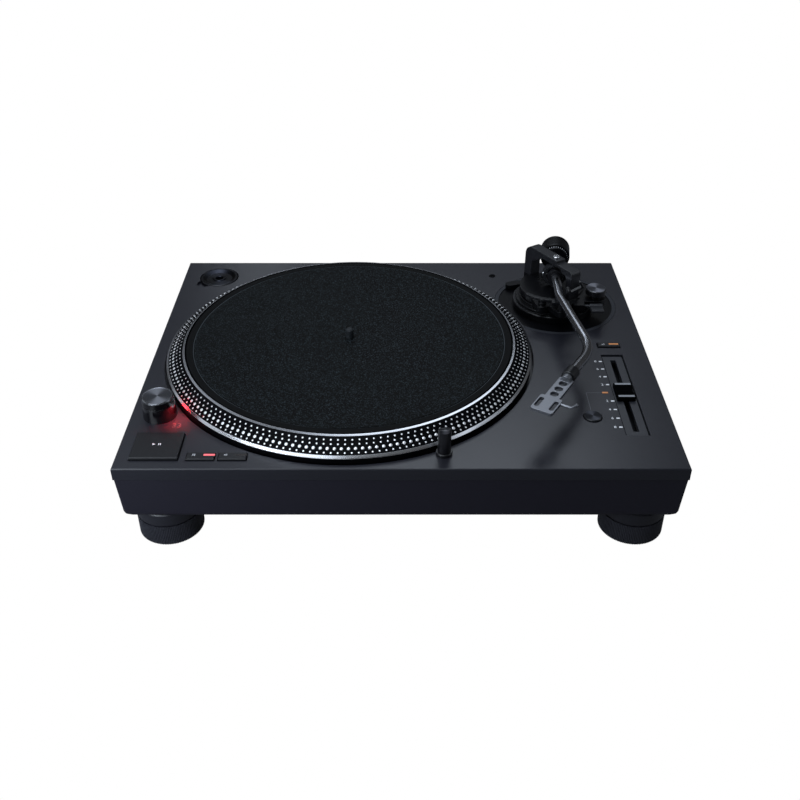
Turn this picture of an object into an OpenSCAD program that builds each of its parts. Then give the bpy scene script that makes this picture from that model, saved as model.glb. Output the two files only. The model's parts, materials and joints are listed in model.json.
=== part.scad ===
// Direct drive turntable with an S-shaped tonearm, in millimetres.
// +Z is up and -Y is the front. The origin lies on the table under the middle of the cabinet.

/* [Cabinet] */
// Overall width
cabinet_w = 453; // [450:1:470]
// Overall depth
cabinet_d = 353; // [352:1:370]
// Height of the deck above the table
deck_z = 87; // [86:0.5:92]
// Thickness of the deck
deck_t = 4; // [3.5:0.1:4.5]
// Height of the deck panel's edge
lip_h = 11; // [11:0.25:13]
// Thickness of the deck panel's edge
lip_t = 5; // [4:0.25:6]
// Bevel along the deck's upper edges
deck_bevel = 0.8; // [0.4:0.1:1.5]
// Distance from the cabinet's sides to the screw posts
post_inset = 16; // [15:0.5:18]
// Radius of the screw posts
post_r = 4.5; // [4:0.1:5]
// Radius of the cabinet screws
screw_r = 1.75; // [1.5:0.05:2]
// Radius of the cabinet screws' heads
screw_head_r = 3.5; // [3:0.1:3.8]

/* [Chassis] */
// Setback of the chassis from the deck panel at the split line
chassis_inset = 0.5; // [0.3:0.1:1.5]
// Draft of the chassis sides, from the split line to the bottom
chassis_draft = 1.5; // [1:0.1:3]
// Thickness of the chassis wall at its foot
chassis_wall = 4; // [3:0.1:5]
// Thickness of the chassis floor
chassis_floor_t = 4; // [3.5:0.1:5]
// Corner radius at the split line
chassis_top_r = 1.2; // [1:0.1:3]
// Corner radius above the bottom edge
chassis_side_r = 3; // [2:0.25:5]
// Corner radius of the underside
chassis_bottom_r = 12; // [8:0.5:14]
// Rounding of the bottom edge
chassis_edge = 6; // [4:0.25:7]
// Depth of the recesses for the rear sockets
bay_depth = 14; // [13:0.25:16]
// Height of the recesses for the rear sockets
bay_h = 24; // [22:0.5:26]
// Width of the mains recess
mains_bay_w = 46; // [40:1:52]
// Place of the mains recess, from the middle
mains_bay_x = -120; // [-126:1:-110]
// Width of the signal recess
signal_bay_w = 76; // [72:1:84]
// Place of the signal recess, from the middle
signal_bay_x = 110; // [100:1:116]

/* [Feet] */
// Clear height under the chassis
foot_h = 35; // [34:0.5:37]
// Radius of the feet
foot_r = 27; // [25:0.1:29]
// Distance from the cabinet's sides to the feet's axes
foot_inset = 31.5; // [30:0.5:36]
// Height of the knurled ring's upper edge
knurl_top = 22; // [19:0.5:25]
// Number of ribs on the knurled ring
knurl_count = 120; // [40:4:120]
// Depth of the knurl
knurl_depth = 0.4; // [0.3:0.1:1]
// Radius of the rubber sole
sole_r = 24; // [20:0.5:26]
// Thickness of the rubber sole
sole_t = 3; // [2:0.25:4]
// Radius of the foot's stud
stud_r = 5; // [4:0.25:6]
// Length of the stud inside the chassis
stud_len = 21; // [18:0.5:22]

/* [Platter] */
// Distance from the left side to the spindle
platter_left = 179.7; // [178:0.1:184]
// Distance from the front to the spindle
platter_front = 173.2; // [172.5:0.1:178]
// Radius of the outer polished ring
platter_r = 166; // [162:0.5:166.5]
// Radius of the inner polished ring
rim_r = 150.5; // [149:0.25:153]
// Height of the inner polished ring above the deck
rim_up = 15.9; // [14.5:0.1:17]
// Height of the outer polished ring above the deck
band_up = 5.6; // [4.5:0.1:6.5]
// Width of each polished ring
ring_w = 1.5; // [1:0.1:2]
// How far the platter's skirt reaches below the deck
skirt_drop = 5; // [4:0.1:5.5]
// Thickness of the platter's skirt
skirt_t = 9; // [7:0.25:11]
// Thickness of the platter's web
web_t = 5; // [4:0.1:5.5]
// Radius of the rubber mat
mat_r = 147.6; // [140:0.1:148]
// Thickness of the rubber mat
mat_t = 3; // [2.5:0.1:3.2]
// Distance from the mat's edge to its moulded ring
mat_ring_in = 6.6; // [6:0.1:16]
// Gap between the platter and the edge of its well
well_gap = 2.4; // [2:0.1:2.8]
// Thickness of the well's wall
well_wall = 2; // [1.8:0.1:2.4]
// Thickness of the well's floor
well_floor_t = 3; // [2.5:0.1:3.2]

/* [Motor] */
// Radius of the spindle
spindle_r = 3.6; // [3.5:0.05:3.7]
// Height of the spindle above the mat
spindle_up = 9; // [6:0.5:14]
// Radius of the motor's base plate
motor_r = 68; // [64:0.5:74]
// Thickness of the motor's base plate
motor_base_t = 2.5; // [2:0.1:2.8]
// Depth of the bearing housing below the well
bearing_len = 30; // [26:0.5:33]
// Outer radius of the bearing sleeve
sleeve_r = 8; // [7:0.1:9]
// Wall of the bearing housing
housing_wall = 4; // [3:0.1:5]
// Thickness of the stator's board
stator_t = 1.6; // [1.2:0.1:1.8]
// Height of the stator's coils
coil_h = 3; // [2:0.1:3.2]
// Number of coils
coil_count = 9; // [6:3:12]
// Radius of the ring of coils
coil_ring_r = 42; // [40:0.5:46]
// Outer radius of each coil
coil_r = 9; // [7:0.25:10]
// Inner radius of the rotor magnet
magnet_in_r = 28; // [24:0.5:31]
// Outer radius of the rotor magnet
magnet_out_r = 58; // [54:0.5:62]
// Gap between the coils and the magnet
air_gap = 1; // [0.7:0.05:1.4]

/* [Buttons] */
// Width of the start and stop button
start_w = 38.6; // [36:0.2:40]
// Depth of the start and stop button
start_d = 34; // [32:0.2:36]
// Distance from the left side to the middle of the start and stop button
start_left = 31; // [30:0.25:32]
// Distance from the front to the middle of the start and stop button
start_front = 28; // [27.5:0.25:30]
// Height of the start and stop button above the deck
start_up = 2.6; // [1.5:0.1:3.5]
// Width of the speed buttons
speed_w = 22.4; // [20:0.2:23]
// Depth of the speed buttons
speed_d = 9; // [8:0.1:9.6]
// Distance from the left side to the middle of the first speed button
speed_left = 67.8; // [67:0.1:68.5]
// Distance from the first speed button to the second
speed_pitch = 25.4; // [25:0.1:26]
// Distance from the front to the middle of the speed buttons
speed_front = 15.2; // [15:0.1:15.6]
// Height of the small buttons above the deck
small_up = 1.6; // [1:0.1:2.2]
// Radius of the round reset button
reset_r = 7.5; // [6.5:0.1:8.5]
// Distance from the right side to the middle of the reset button
reset_right = 65.9; // [64:0.1:67]
// Distance from the front to the middle of the reset button
reset_front = 69.6; // [66:0.2:72]
// Width of the pitch range button
range_w = 20.5; // [18:0.2:21]
// Depth of the pitch range button
range_d = 7.1; // [6:0.1:8]
// Distance from the front to the middle of the pitch range button
range_front = 183; // [182:0.1:185]
// Gap round each button
button_gap = 0.6; // [0.4:0.05:0.8]
// Travel of each button
button_travel = 1.2; // [0.8:0.1:1.5]
// Bevel along the buttons' upper edges
button_bevel = 0.6; // [0.3:0.1:0.9]

/* [Strobe and power dial] */
// Distance from the left side to the strobe housing's axis
strobe_left = 24.5; // [23:0.25:25]
// Distance from the front to the strobe housing's axis
strobe_front = 73; // [71:0.25:75]
// Radius of the strobe housing at the deck
strobe_r = 14.2; // [13.5:0.1:15]
// Height of the strobe housing
strobe_h = 13; // [12:0.25:15]
// Radius of the power dial at its top
dial_r = 13.1; // [12:0.1:13.4]
// Height of the power dial
dial_h = 6.2; // [5:0.1:8]
// Width of the strobe's window
strobe_window_w = 10; // [8:0.2:12]
// Height of the strobe's window
strobe_window_h = 7.5; // [6:0.1:8.5]

/* [Target light] */
// Direction from the spindle to the target light
target_angle = -62.2; // [-64:0.2:-60]
// Gap between the platter and the target light's collar
target_gap = 1.35; // [1.2:0.05:2]
// Radius of the light's post
target_r = 5.3; // [4.5:0.1:6]
// Height of the raised post above the deck
target_up = 26.5; // [24:0.5:28]
// Depth of the raised post below the deck
target_down = 9; // [8:0.25:10]
// How far the post pushes down
target_travel = 22; // [18:0.5:22]
// Wall of the light's collar
target_wall = 0.9; // [0.8:0.05:1.2]
// Height of the light's collar above the deck
target_collar_h = 3; // [2:0.1:3.5]

/* [Pitch fader] */
// Distance from the right side to the fader's slot
fader_right = 33; // [32.5:0.1:34]
// Distance from the front to the middle of the fader
fader_front = 105.4; // [104:0.2:108]
// Width of the fader's sunk plate
fader_w = 20; // [18:0.2:21]
// Length of the fader's sunk plate
fader_len = 123.4; // [123:0.2:126]
// Depth of the sunk plate below the deck
fader_sink = 1.5; // [1:0.1:1.8]
// Width of the fader's slot
fader_slot_w = 5; // [4.5:0.1:6]
// Travel of the fader to each side of its middle
fader_travel = 50; // [40:1:50]
// Width of the fader's knob
knob_w = 15.5; // [13:0.25:16.5]
// Length of the fader's knob
knob_len = 22.8; // [18:0.2:22.8]
// Height of the fader's knob
knob_h = 4.2; // [3.6:0.1:6]
// Depth of the fader's track below the deck
track_h = 10; // [9:0.25:11]

/* [Record adaptor] */
// Distance from the left side to the adaptor
adaptor_left = 36.5; // [35.5:0.25:38]
// Distance from the back to the adaptor
adaptor_back = 33.7; // [33:0.25:36]
// Radius of the adaptor
adaptor_r = 19.05; // [18:0.05:19.1]
// Gap round the adaptor
adaptor_gap = 1; // [0.6:0.1:1.4]
// Depth of the adaptor's well
adaptor_depth = 7; // [6:0.25:8]

/* [Tonearm base] */
// Distance from the spindle to the arm's pivot
mount_distance = 216.4; // [215:0.2:218]
// Direction from the spindle to the arm's pivot
mount_angle = 24.2; // [23.5:0.1:25]
// Radius of the round plate under the arm
arm_plate_r = 60; // [56:0.25:60.5]
// Thickness of the round plate under the arm
arm_plate_t = 2; // [1.6:0.1:2.4]
// How far the plate under the arm lies below its rim
arm_plate_sink = 0.8; // [0.4:0.1:1]
// Radius of the height ring
height_ring_r = 39.5; // [37:0.25:41]
// Height of the height ring
height_ring_h = 13; // [12:0.1:13.5]
// Radius of the turret
turret_r = 29; // [27.5:0.1:29.5]
// Radius of the turret's collar
collar_r = 33; // [31:0.25:34]
// Height of the turret above the deck
turret_up = 21; // [20.5:0.1:21.5]
// Depth of the turret below the deck
turret_down = 24; // [20:0.5:25]
// Thickness of the turret's shelf
shelf_t = 6; // [5:0.1:6.2]
// Wall of the guide round the turret
guide_wall = 4; // [3:0.1:5]
// Reach of the arch from the pivot to the back left
arch_back = 39; // [37:0.5:40]
// Reach of the arch from the pivot to the front right
arch_front = 30; // [29:0.25:31]
// Thickness of the arch
arch_t = 11; // [9:0.25:12]
// Width of the arch's rear leg
arch_back_leg = 10; // [8:0.25:11]
// Width of the arch's front leg
arch_front_leg = 7.5; // [6:0.25:8]
// Depth of the arch's beam over its rear leg
arch_haunch = 13.5; // [10:0.25:15]
// Height of the arch's top above the deck
arch_up = 51.5; // [51:0.1:53]
// Thickness of the arch's beam
arch_beam = 5.5; // [4.5:0.1:5.6]
// Step down of the beam in front of the pivot
arch_step = 3; // [2:0.25:3.5]
// Radius of the arch's upper corners
arch_corner = 9; // [6:0.25:11]
// Direction of the arch seen from above
arch_angle = -57; // [-60:0.5:-54]

/* [Tonearm] */
// Height of the arm's axis above the deck
arm_up = 34; // [33.8:0.1:34.2]
// Radius of the arm tube
tube_r = 4.25; // [3.75:0.05:4.4]
// Length of the arm tube from the pivot to the first bend
rear_len = 46; // [44:0.5:48]
// Length of the arm tube between the bends
mid_len = 95; // [90:0.5:98]
// Length of the arm tube from the second bend to the headshell's collar
front_len = 42; // [38:0.5:46]
// Direction of the tube's rear stretch, from straight ahead towards the right
rear_heading = -1.5; // [-3:0.1:-0.5]
// Direction of the counterweight's shaft, seen from behind
shaft_heading = -8; // [-9:0.1:-1.5]
// Direction of the tube's middle stretch
mid_heading = 8.8; // [7:0.1:10]
// Direction of the tube's front stretch
front_heading = -31; // [-33:0.25:-29]
// Radius of the first bend
bend1_r = 60; // [50:1:80]
// Radius of the second bend
bend2_r = 50; // [40:1:60]
// Outer radius of the gimbal ring
gimbal_r = 11.5; // [11.2:0.05:11.6]
// Wall of the gimbal ring
gimbal_wall = 2.5; // [2:0.1:2.8]
// Width of the gimbal ring
gimbal_w = 7; // [5:0.25:8]
// Radius of the arm's hub inside the gimbal ring
hub_r = 7.2; // [6.5:0.1:7.4]
// Radius of the pivot pins
pin_r = 1.2; // [1:0.05:1.4]
// Radius of the counterweight
weight_r = 14.5; // [13:0.1:15]
// Length of the counterweight
weight_len = 20; // [18:0.5:22]
// Distance from the pivot to the counterweight
weight_at = 36; // [35.5:0.25:38]
// Radius of the tracking force dial
force_dial_r = 12.5; // [11:0.1:13]
// Width of the tracking force dial
force_dial_w = 4.5; // [4:0.1:4.8]
// Radius of the rear shaft
rear_shaft_r = 3.4; // [3:0.05:3.6]
// Length of the rear shaft behind the pivot
rear_shaft_len = 68; // [66:0.5:70]

/* [Headshell] */
// Length of the headshell's lock collar
collar_len = 12; // [10:0.25:14]
// Wall of the headshell's lock collar
collar_wall = 1.6; // [1.2:0.05:2]
// Width of the headshell's rear part
shell_rear_w = 12.5; // [11:0.25:13.5]
// Length of the headshell's rear part
shell_rear_len = 31; // [30:0.5:34]
// Width of the headshell's front part
shell_front_w = 19; // [18:0.25:21]
// Length of the headshell's front part
shell_front_len = 22; // [20:0.5:24]
// Thickness of the headshell's plate
shell_t = 2.8; // [2:0.1:3]
// Distance between the cartridge slots
slot_pitch = 12.7; // [12.5:0.1:12.9]
// Width of the cartridge slots
slot_w = 3.8; // [2.6:0.1:4]
// Length of the cartridge slots
slot_len = 14; // [10:0.5:15]
// Radius of the holes in the headshell
shell_hole_r = 3.5; // [2.5:0.1:3.6]
// Radius of the finger lift's rod
lift_rod_r = 1.2; // [1:0.05:1.5]

/* [Arm controls] */
// Place of the anti-skate dial to the right of the pivot
skate_x = 37.6; // [36:0.2:39]
// Place of the anti-skate dial in front of the pivot
skate_y = 21; // [20:0.2:22]
// Radius of the anti-skate dial
skate_r = 9.8; // [9:0.1:10.5]
// Height of the anti-skate dial's top above the deck
skate_up = 30; // [28:0.25:32]
// Place of the cue lever's shaft in front of the pivot
cue_y = 34.4; // [34:0.1:35]
// Length of the cue lever's paddle
cue_len = 12; // [10:0.25:13]
// Width of the cue lever's paddle
cue_w = 12; // [10:0.25:13]
// Radius of the cue lever's shaft
cue_shaft_r = 1.6; // [1.4:0.05:1.8]
// Radius of the arm lifter's bar about the pivot
lifter_r = 40; // [38.5:0.25:40.5]
// Radius of the arm lifter's post
lifter_post_r = 2.5; // [2:0.1:2.8]
// Gap between the lowered lifter and the tube
lifter_gap = 2.5; // [2:0.1:3]
// Length of the arm rest along the tube
rest_len = 8; // [7:0.25:8.5]
// Thickness of the arm rest's pad and wall
rest_t = 3; // [2.5:0.1:3.5]

/* [Fits] */
// Radial clearance of turning and sliding fits
fit = 0.05; // [0.03:0.01:0.08]
// Radial clearance of seated fits
seat = 0.02; // [0.02:0.01:0.04]
// Gap between moving faces that must not touch
gap = 0.3; // [0.25:0.05:0.4]

/* [Hidden] */
$fn = 96;

// Extra reach of a cutting shape past the face that it cuts
over = 1;
// Facets of the rounded corners that are blended
blend_fn = 32;

// Sides of the cabinet
left = -cabinet_w / 2;
right = cabinet_w / 2;
front = -cabinet_d / 2;
back = cabinet_d / 2;

// Levels of the cabinet
deck_under = deck_z - deck_t;
split_z = deck_z - lip_h;
floor_top = foot_h + chassis_floor_t;
well_floor = split_z + well_floor_t;
inner_x = right - chassis_inset - chassis_draft - chassis_wall;
inner_y = back - chassis_inset - chassis_draft - chassis_wall;

// Platter and motor levels
spindle_at = [left + platter_left, front + platter_front];
well_r = platter_r + well_gap;
rim_z = deck_z + rim_up;
mat_floor = rim_z - mat_t - gap;
mat_ring_r = mat_r - mat_ring_in;
web_under = mat_floor - web_t;
motor_top = well_floor + motor_base_t;
coil_top = motor_top + stator_t + coil_h;
magnet_under = coil_top + air_gap;
housing_r = sleeve_r + housing_wall;
housing_under = split_z - bearing_len;
thrust_t = 3;
sleeve_top = web_under - 6;
shoulder_r = 6.5;
spindle_tip = mat_floor + mat_t + spindle_up;

// Controls
start_at = [left + start_left, front + start_front];
speed_33_at = [left + speed_left, front + speed_front];
speed_45_at = speed_33_at + [speed_pitch, 0];
reset_at = [right - reset_right, front + reset_front];
fader_at = [right - fader_right, front + fader_front];
range_at = [right - fader_right, front + range_front];
lock_lamp_at = fader_at - [16.6, 0];
lock_lamp_size = [5, 1.8];
strobe_at = [left + strobe_left, front + strobe_front];
target_out_r = target_r + fit + target_wall;
target_distance = platter_r + target_gap + target_out_r;
target_at = spindle_at + target_distance * [cos(target_angle), sin(target_angle)];
adaptor_at = [left + adaptor_left, back - adaptor_back];
spare_hole_at = [96.4, back - 29.7];
spare_hole_r = 3;

// Button parts below the deck
flange_t = 1.5;
flange_w = 1.4;
flange_top = deck_under - gap;
flange_under = flange_top - flange_t;
board_t = 1.6;
track_under = deck_under - track_h;
board_top = track_under;
board_under = board_top - board_t;
switch_top = flange_under - button_travel - gap;
switch_w = 6;
control_x0 = left + 13;
control_x1 = speed_45_at.x + speed_w / 2;
control_y0 = front + 10;
control_y1 = front + 46;
pitch_x0 = reset_at.x - 10;
track_w = fader_w + 2;

// Tonearm places
pivot_at = spindle_at + mount_distance * [cos(mount_angle), sin(mount_angle)];
arm_plate_at = pivot_at + [3.2, 1.7];
arm_rim_w = 3.8;
arm_z = deck_z + arm_up;
plate_top = deck_z - arm_plate_sink;
turret_top = deck_z + turret_up;
shelf_z = turret_top - 1 - shelf_t;
arch_top = deck_z + arch_up;
beam_under = arch_top - arch_beam;
bend1_at = pivot_at + rear_len * ahead(rear_heading);
bend2_at = bend1_at + mid_len * ahead(mid_heading);
collar_at = bend2_at + front_len * ahead(front_heading);
bend1_trim = bend1_r * tan(abs(mid_heading - rear_heading) / 2);
bend2_trim = bend2_r * tan(abs(front_heading - mid_heading) / 2);
guide_r = turret_r + fit + guide_wall;
skate_at = pivot_at + [skate_x, -skate_y];
cue_at = pivot_at + [0, -cue_y];
cue_z = shelf_z + shelf_t / 2;
cue_paddle_x = 36.6;
cue_block_x = 20;
cue_block_w = 11;
lifter_first = -11;
lifter_last = -48;
lifter_post = -23;
lifter_at = pivot_at + lifter_r * ahead(lifter_post);
lifter_top = arm_z - tube_r - lifter_gap;
lifter_bar_h = 2.5;
lifter_bar_w = 4;
rest_top = arm_z - tube_r - gap;
rest_wall_x = tube_r + 1.8;
clip_z = arm_z + tube_r + 1.6;
clip_pin_r = 1;
clip_r = 2.2;
clip_open = 150;
lock_lever_at = arm_plate_at + [-42, 33];
lock_pin_r = 2;
socket_r = 3.4;
socket_len = 9;
plug_gap = 0.3;

// Direction of a heading, measured from straight ahead towards the right
function ahead(heading) = [sin(heading), -cos(heading)];

// Places of the posts that the cabinet screws go into
function post_places() = [
  [left + post_inset, front + 106], [left + post_inset, back - 96], [left + 66.5, back - post_inset],
  [60, back - post_inset], [right - post_inset, back - 56], [right - post_inset, front + 136],
  [70, front + post_inset], [140, front + post_inset]];

// Place of a foot, from the side that it is on
function foot_at(side, end) = [side * (right - foot_inset), end * (back - foot_inset)];

// Puts a shape at a place and a height
module at(place, z = 0) {
  translate([place.x, place.y, z])
    children();
}

// A box from one corner to the opposite one
module box_between(low, high) {
  translate(low)
    cube(high - low);
}

// A box centred on a place, between two heights
module slab(place, size, z0, z1) {
  box_between([place.x - size.x / 2, place.y - size.y / 2, z0], [place.x + size.x / 2, place.y + size.y / 2, z1]);
}

// The side view of a block with bevelled upper edges
module bevelled_side(w, z0, z1, bevel) {
  polygon([[-w / 2, z0], [w / 2, z0], [w / 2, z1 - bevel], [w / 2 - bevel, z1],
      [bevel - w / 2, z1], [-w / 2, z1 - bevel]]);
}

// A block with bevelled upper edges
module bevelled_block(w, d, z0, z1, bevel) {
  intersection() {
    rotate([90, 0, 0])
      linear_extrude(height = d + 2 * over, center = true)
        bevelled_side(w, z0, z1, bevel);
    rotate([90, 0, 90])
      linear_extrude(height = w + 2 * over, center = true)
        bevelled_side(d, z0, z1, bevel);
  }
}

// A round piece with bevelled upper edge and an optional hole
module bevelled_disc(r, z0, z1, bevel, hole = 0) {
  rotate_extrude()
    polygon([[hole, z0], [r, z0], [r, z1 - bevel], [r - bevel, z1], [hole, z1]]);
}

// A flat plate of two round ends and the straight sides between them
module link_plate(a, ra, b, rb, z0, z1) {
  span = b - a;
  toward = atan2(span.y, span.x);
  swing = acos((ra - rb) / norm(span));
  translate([0, 0, z0])
    linear_extrude(height = z1 - z0) {
      translate(a)
        circle(r = ra);
      translate(b)
        circle(r = rb);
      polygon([a + ra * [cos(toward + swing), sin(toward + swing)], a, a + ra * [cos(toward - swing),
          sin(toward - swing)], b + rb * [cos(toward - swing), sin(toward - swing)], b,
          b + rb * [cos(toward + swing), sin(toward + swing)]]);
    }
}

// An outline with straight feet and rounded upper corners
module round_top(half, z0, z1, r) {
  translate([-half, z0])
    square([2 * half, z1 - r - z0]);
  translate([r - half, z0])
    square([2 * (half - r), z1 - z0]);
  for (side = [-1, 1])
    translate([side * (half - r), z1 - r])
      circle(r = r);
}

// A rectangle with rounded corners
module round_rect(w, d, r) {
  square([w - 2 * r, d], center = true);
  square([w, d - 2 * r], center = true);
  for (x = [-1, 1])
    for (y = [-1, 1])
      translate([x * (w / 2 - r), y * (d / 2 - r)])
        circle(r = r);
}

// The outline of the round plate under the arm, cut away round the platter's well
module arm_plate_outline(grow) {
  difference() {
    translate(arm_plate_at)
      circle(r = arm_plate_r + grow);
    translate(spindle_at)
      circle(r = well_r + well_wall + 1 - grow);
  }
}

// The deck panel: a shallow tray with the platter's well, the adaptor's well and the control openings
module top_cabinet() {
  cup_floor = deck_z - adaptor_depth;
  cup_r = adaptor_r + adaptor_gap;
  color("#3b3e45")
    difference() {
      union() {
        difference() {
          bevelled_block(cabinet_w, cabinet_d, split_z, deck_z, deck_bevel);
          box_between([left + lip_t, front + lip_t, split_z - over],
                [right - lip_t, back - lip_t, deck_under]);
        }
        at(spindle_at, split_z)
          cylinder(r = well_r + well_wall, h = lip_h - deck_t + over);
        at(adaptor_at, cup_floor - well_wall)
          cylinder(r = cup_r + well_wall, h = deck_z - over - cup_floor + well_wall);
        for (place = post_places())
          at(place, floor_top)
            cylinder(r = post_r, h = deck_z - over - floor_top);
        for (place = control_posts())
          at(place, board_top)
            cylinder(r = 3, h = deck_z - over - board_top);
      }
      at(spindle_at, well_floor)
        cylinder(r = well_r, h = lip_h);
      at(spindle_at, split_z - over)
        cylinder(r = housing_r + 2, h = lip_h);
      at(adaptor_at, cup_floor)
        cylinder(r = cup_r, h = adaptor_depth + over);
      at(adaptor_at + cup_r * [cos(225), sin(225)], deck_z - 2.5)
        cylinder(r = 7, h = 2.5 + over);
      for (place = post_places())
        at(place, floor_top - over)
          cylinder(r = screw_r + seat, h = 15);
      slab(start_at, [start_w, start_d] + 2 * [button_gap, button_gap], split_z - over, deck_z + over);
      for (place = [speed_33_at, speed_45_at])
        slab(place, [speed_w, speed_d] + 2 * [button_gap, button_gap], split_z - over, deck_z + over);
      slab(range_at, [range_w, range_d] + 2 * [button_gap, button_gap], split_z - over, deck_z + over);
      at(reset_at, split_z - over)
        cylinder(r = reset_r + button_gap, h = lip_h + 2 * over);
      slab(fader_at, [fader_w, fader_len], split_z - over, deck_z + over);
      slab(lock_lamp_at, lock_lamp_size + 2 * [seat, seat], split_z - over, deck_z + over);
      at(target_at, split_z - over)
        cylinder(r = target_out_r + seat, h = lip_h + 2 * over);
      at(spare_hole_at, deck_z - deck_t + over)
        cylinder(r = spare_hole_r, h = deck_t);
      translate([0, 0, deck_z - arm_plate_t])
        linear_extrude(height = arm_plate_t + over)
          arm_plate_outline(gap / 2);
      at(pivot_at, split_z - over)
        cylinder(r = guide_r + gap / 2, h = lip_h + 2 * over);
      at(lock_lever_at, split_z - over)
        cylinder(r = lock_pin_r + 3, h = lip_h + 2 * over);
    }
}

// Places of the posts that carry the control board
function control_posts() = [[start_at.x + start_w / 2 + 5, front + 41], [speed_33_at.x + 7, front + 27]];

// The drafted outer form of the chassis
module chassis_form() {
  levels = [[split_z, chassis_inset, chassis_top_r],
      for (a = [0 : 22.5 : 90]) [foot_h + chassis_edge * (1 - sin(a)),
        chassis_inset + chassis_draft + chassis_edge * (1 - cos(a)),
        chassis_side_r + (chassis_bottom_r - chassis_side_r) * (1 - cos(a))]];
  skin = 0.02;
  hull()
    for (level = levels)
      for (x = [-1, 1])
        for (y = [-1, 1])
          translate([x * (right - level[1] - level[2]), y * (back - level[1] - level[2]),
               level[0] == split_z ? split_z - skin : level[0]])
            cylinder(r = level[2], h = skin, $fn = blend_fn);
}

// The lower chassis: a tub with the feet's bosses, the board supports and the rear recesses
module lower_chassis() {
  bay_z0 = floor_top + 4;
  bay_back = back - chassis_inset - bay_depth;
  bays = [[mains_bay_x, mains_bay_w], [signal_bay_x, signal_bay_w]];
  color("#23252b")
    difference() {
      union() {
        difference() {
          chassis_form();
          box_between([-inner_x, -inner_y, floor_top], [inner_x, inner_y, split_z + over]);
        }
        for (x = [-1, 1])
          for (y = [-1, 1])
            at(foot_at(x, y), floor_top - over)
              cylinder(r = stud_r + 5, h = stud_len + over);
        for (bay = bays)
          box_between([bay[0] - bay[1] / 2 - 3, bay_back - 3, floor_top - over],
                [bay[0] + bay[1] / 2 + 3, inner_y + over, bay_z0 + bay_h + 2.5]);
        for (place = main_board_posts())
          at(place, floor_top - over)
            cylinder(r = 4, h = board_stand + over);
        for (place = power_board_posts())
          at(place, floor_top - over)
            cylinder(r = 4, h = board_stand + over);
      }
      for (x = [-1, 1])
        for (y = [-1, 1])
          at(foot_at(x, y), foot_h - over)
            cylinder(r = stud_r + fit, h = stud_len + over + 1.5);
      for (bay = bays)
        box_between([bay[0] - bay[1] / 2, bay_back, bay_z0],
              [bay[0] + bay[1] / 2, back + over, bay_z0 + bay_h]);
      slab([mains_bay_x, bay_back], inlet_body + 2 * [seat, seat], socket_z - inlet_h / 2 - seat,
        socket_z + inlet_h / 2 + seat);
      for (place = jack_places())
        translate([place, bay_back + over, socket_z])
          rotate([90, 0, 0])
            cylinder(r = jack_r + seat, h = 6);
      for (place = post_places())
        at(place, foot_h - over) {
          cylinder(r = screw_r + gap, h = chassis_floor_t + 2 * over);
          cylinder(r = screw_head_r + gap, h = chassis_floor_t / 2 + over);
        }
    }
}

// Supports of the two large boards on the chassis floor
board_stand = 6;
main_board_size = [140, 92];
main_board_at = [104, front + 116];
power_board_size = [92, 58];
power_board_at = [mains_bay_x + 14, back - 66];
socket_z = floor_top + 4 + bay_h / 2;
inlet_body = [19, 36];
inlet_h = 11;
jack_r = 4;
jack_pitch = 18;
function main_board_posts() = [for (x = [-1, 1]) for (y = [-1, 1])
  main_board_at + [x * (main_board_size.x / 2 - 6), y * (main_board_size.y / 2 - 6)]];
function power_board_posts() = [for (x = [-1, 1]) for (y = [-1, 1])
  power_board_at + [x * (power_board_size.x / 2 - 6), y * (power_board_size.y / 2 - 6)]];
function jack_places() = [for (i = [-1, 0, 1]) signal_bay_x + i * jack_pitch];

// The screws that hold the chassis to the deck panel
module cabinet_screws() {
  head_top = foot_h + chassis_floor_t / 2;
  color("#8b8d90")
    for (place = post_places())
      at(place, 0)
        difference() {
          union() {
            translate([0, 0, head_top - 1.8])
              cylinder(r = screw_head_r, h = 1.8);
            translate([0, 0, head_top - over])
              cylinder(r = screw_r, h = 14);
          }
          for (turn = [0, 90])
            rotate([0, 0, turn])
              slab([0, 0], [4, 0.8], head_top - 3, head_top - 0.9);
        }
}

// The motor's base plate with the bearing housing under it
module motor_base() {
  color("#9a9ca1")
    at(spindle_at)
      difference() {
        union() {
          translate([0, 0, well_floor])
            cylinder(r = motor_r, h = motor_base_t);
          translate([0, 0, housing_under])
            cylinder(r = housing_r, h = well_floor - housing_under + over);
        }
        translate([0, 0, housing_under + thrust_t])
          cylinder(r = sleeve_r + seat, h = deck_z);
        for (turn = [0 : 120 : 240])
          rotate([0, 0, turn])
            translate([motor_r - 5, 0, well_floor - over])
              cylinder(r = screw_r + gap, h = motor_base_t + 2 * over);
      }
}

// The stator: a round board that carries the flat coils
module stator() {
  color("#b8743a")
    at(spindle_at) {
      translate([0, 0, motor_top])
        difference() {
          cylinder(r = magnet_out_r + 3, h = stator_t);
          translate([0, 0, -over])
            cylinder(r = sleeve_r + 4, h = stator_t + 2 * over);
        }
      for (i = [0 : coil_count - 1])
        rotate([0, 0, i * 360 / coil_count])
          translate([coil_ring_r, 0, motor_top + stator_t / 2])
            difference() {
              cylinder(r = coil_r, h = coil_h + stator_t / 2);
              translate([0, 0, stator_t])
                cylinder(r = coil_r / 3, h = coil_h);
            }
    }
}

// The bronze sleeve that the spindle turns in
module bearing_sleeve() {
  color("#b08d57")
    at(spindle_at, housing_under + thrust_t)
      difference() {
        cylinder(r = sleeve_r, h = sleeve_top - housing_under - thrust_t);
        translate([0, 0, -over])
          cylinder(r = spindle_r + fit, h = deck_z);
      }
}

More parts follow.
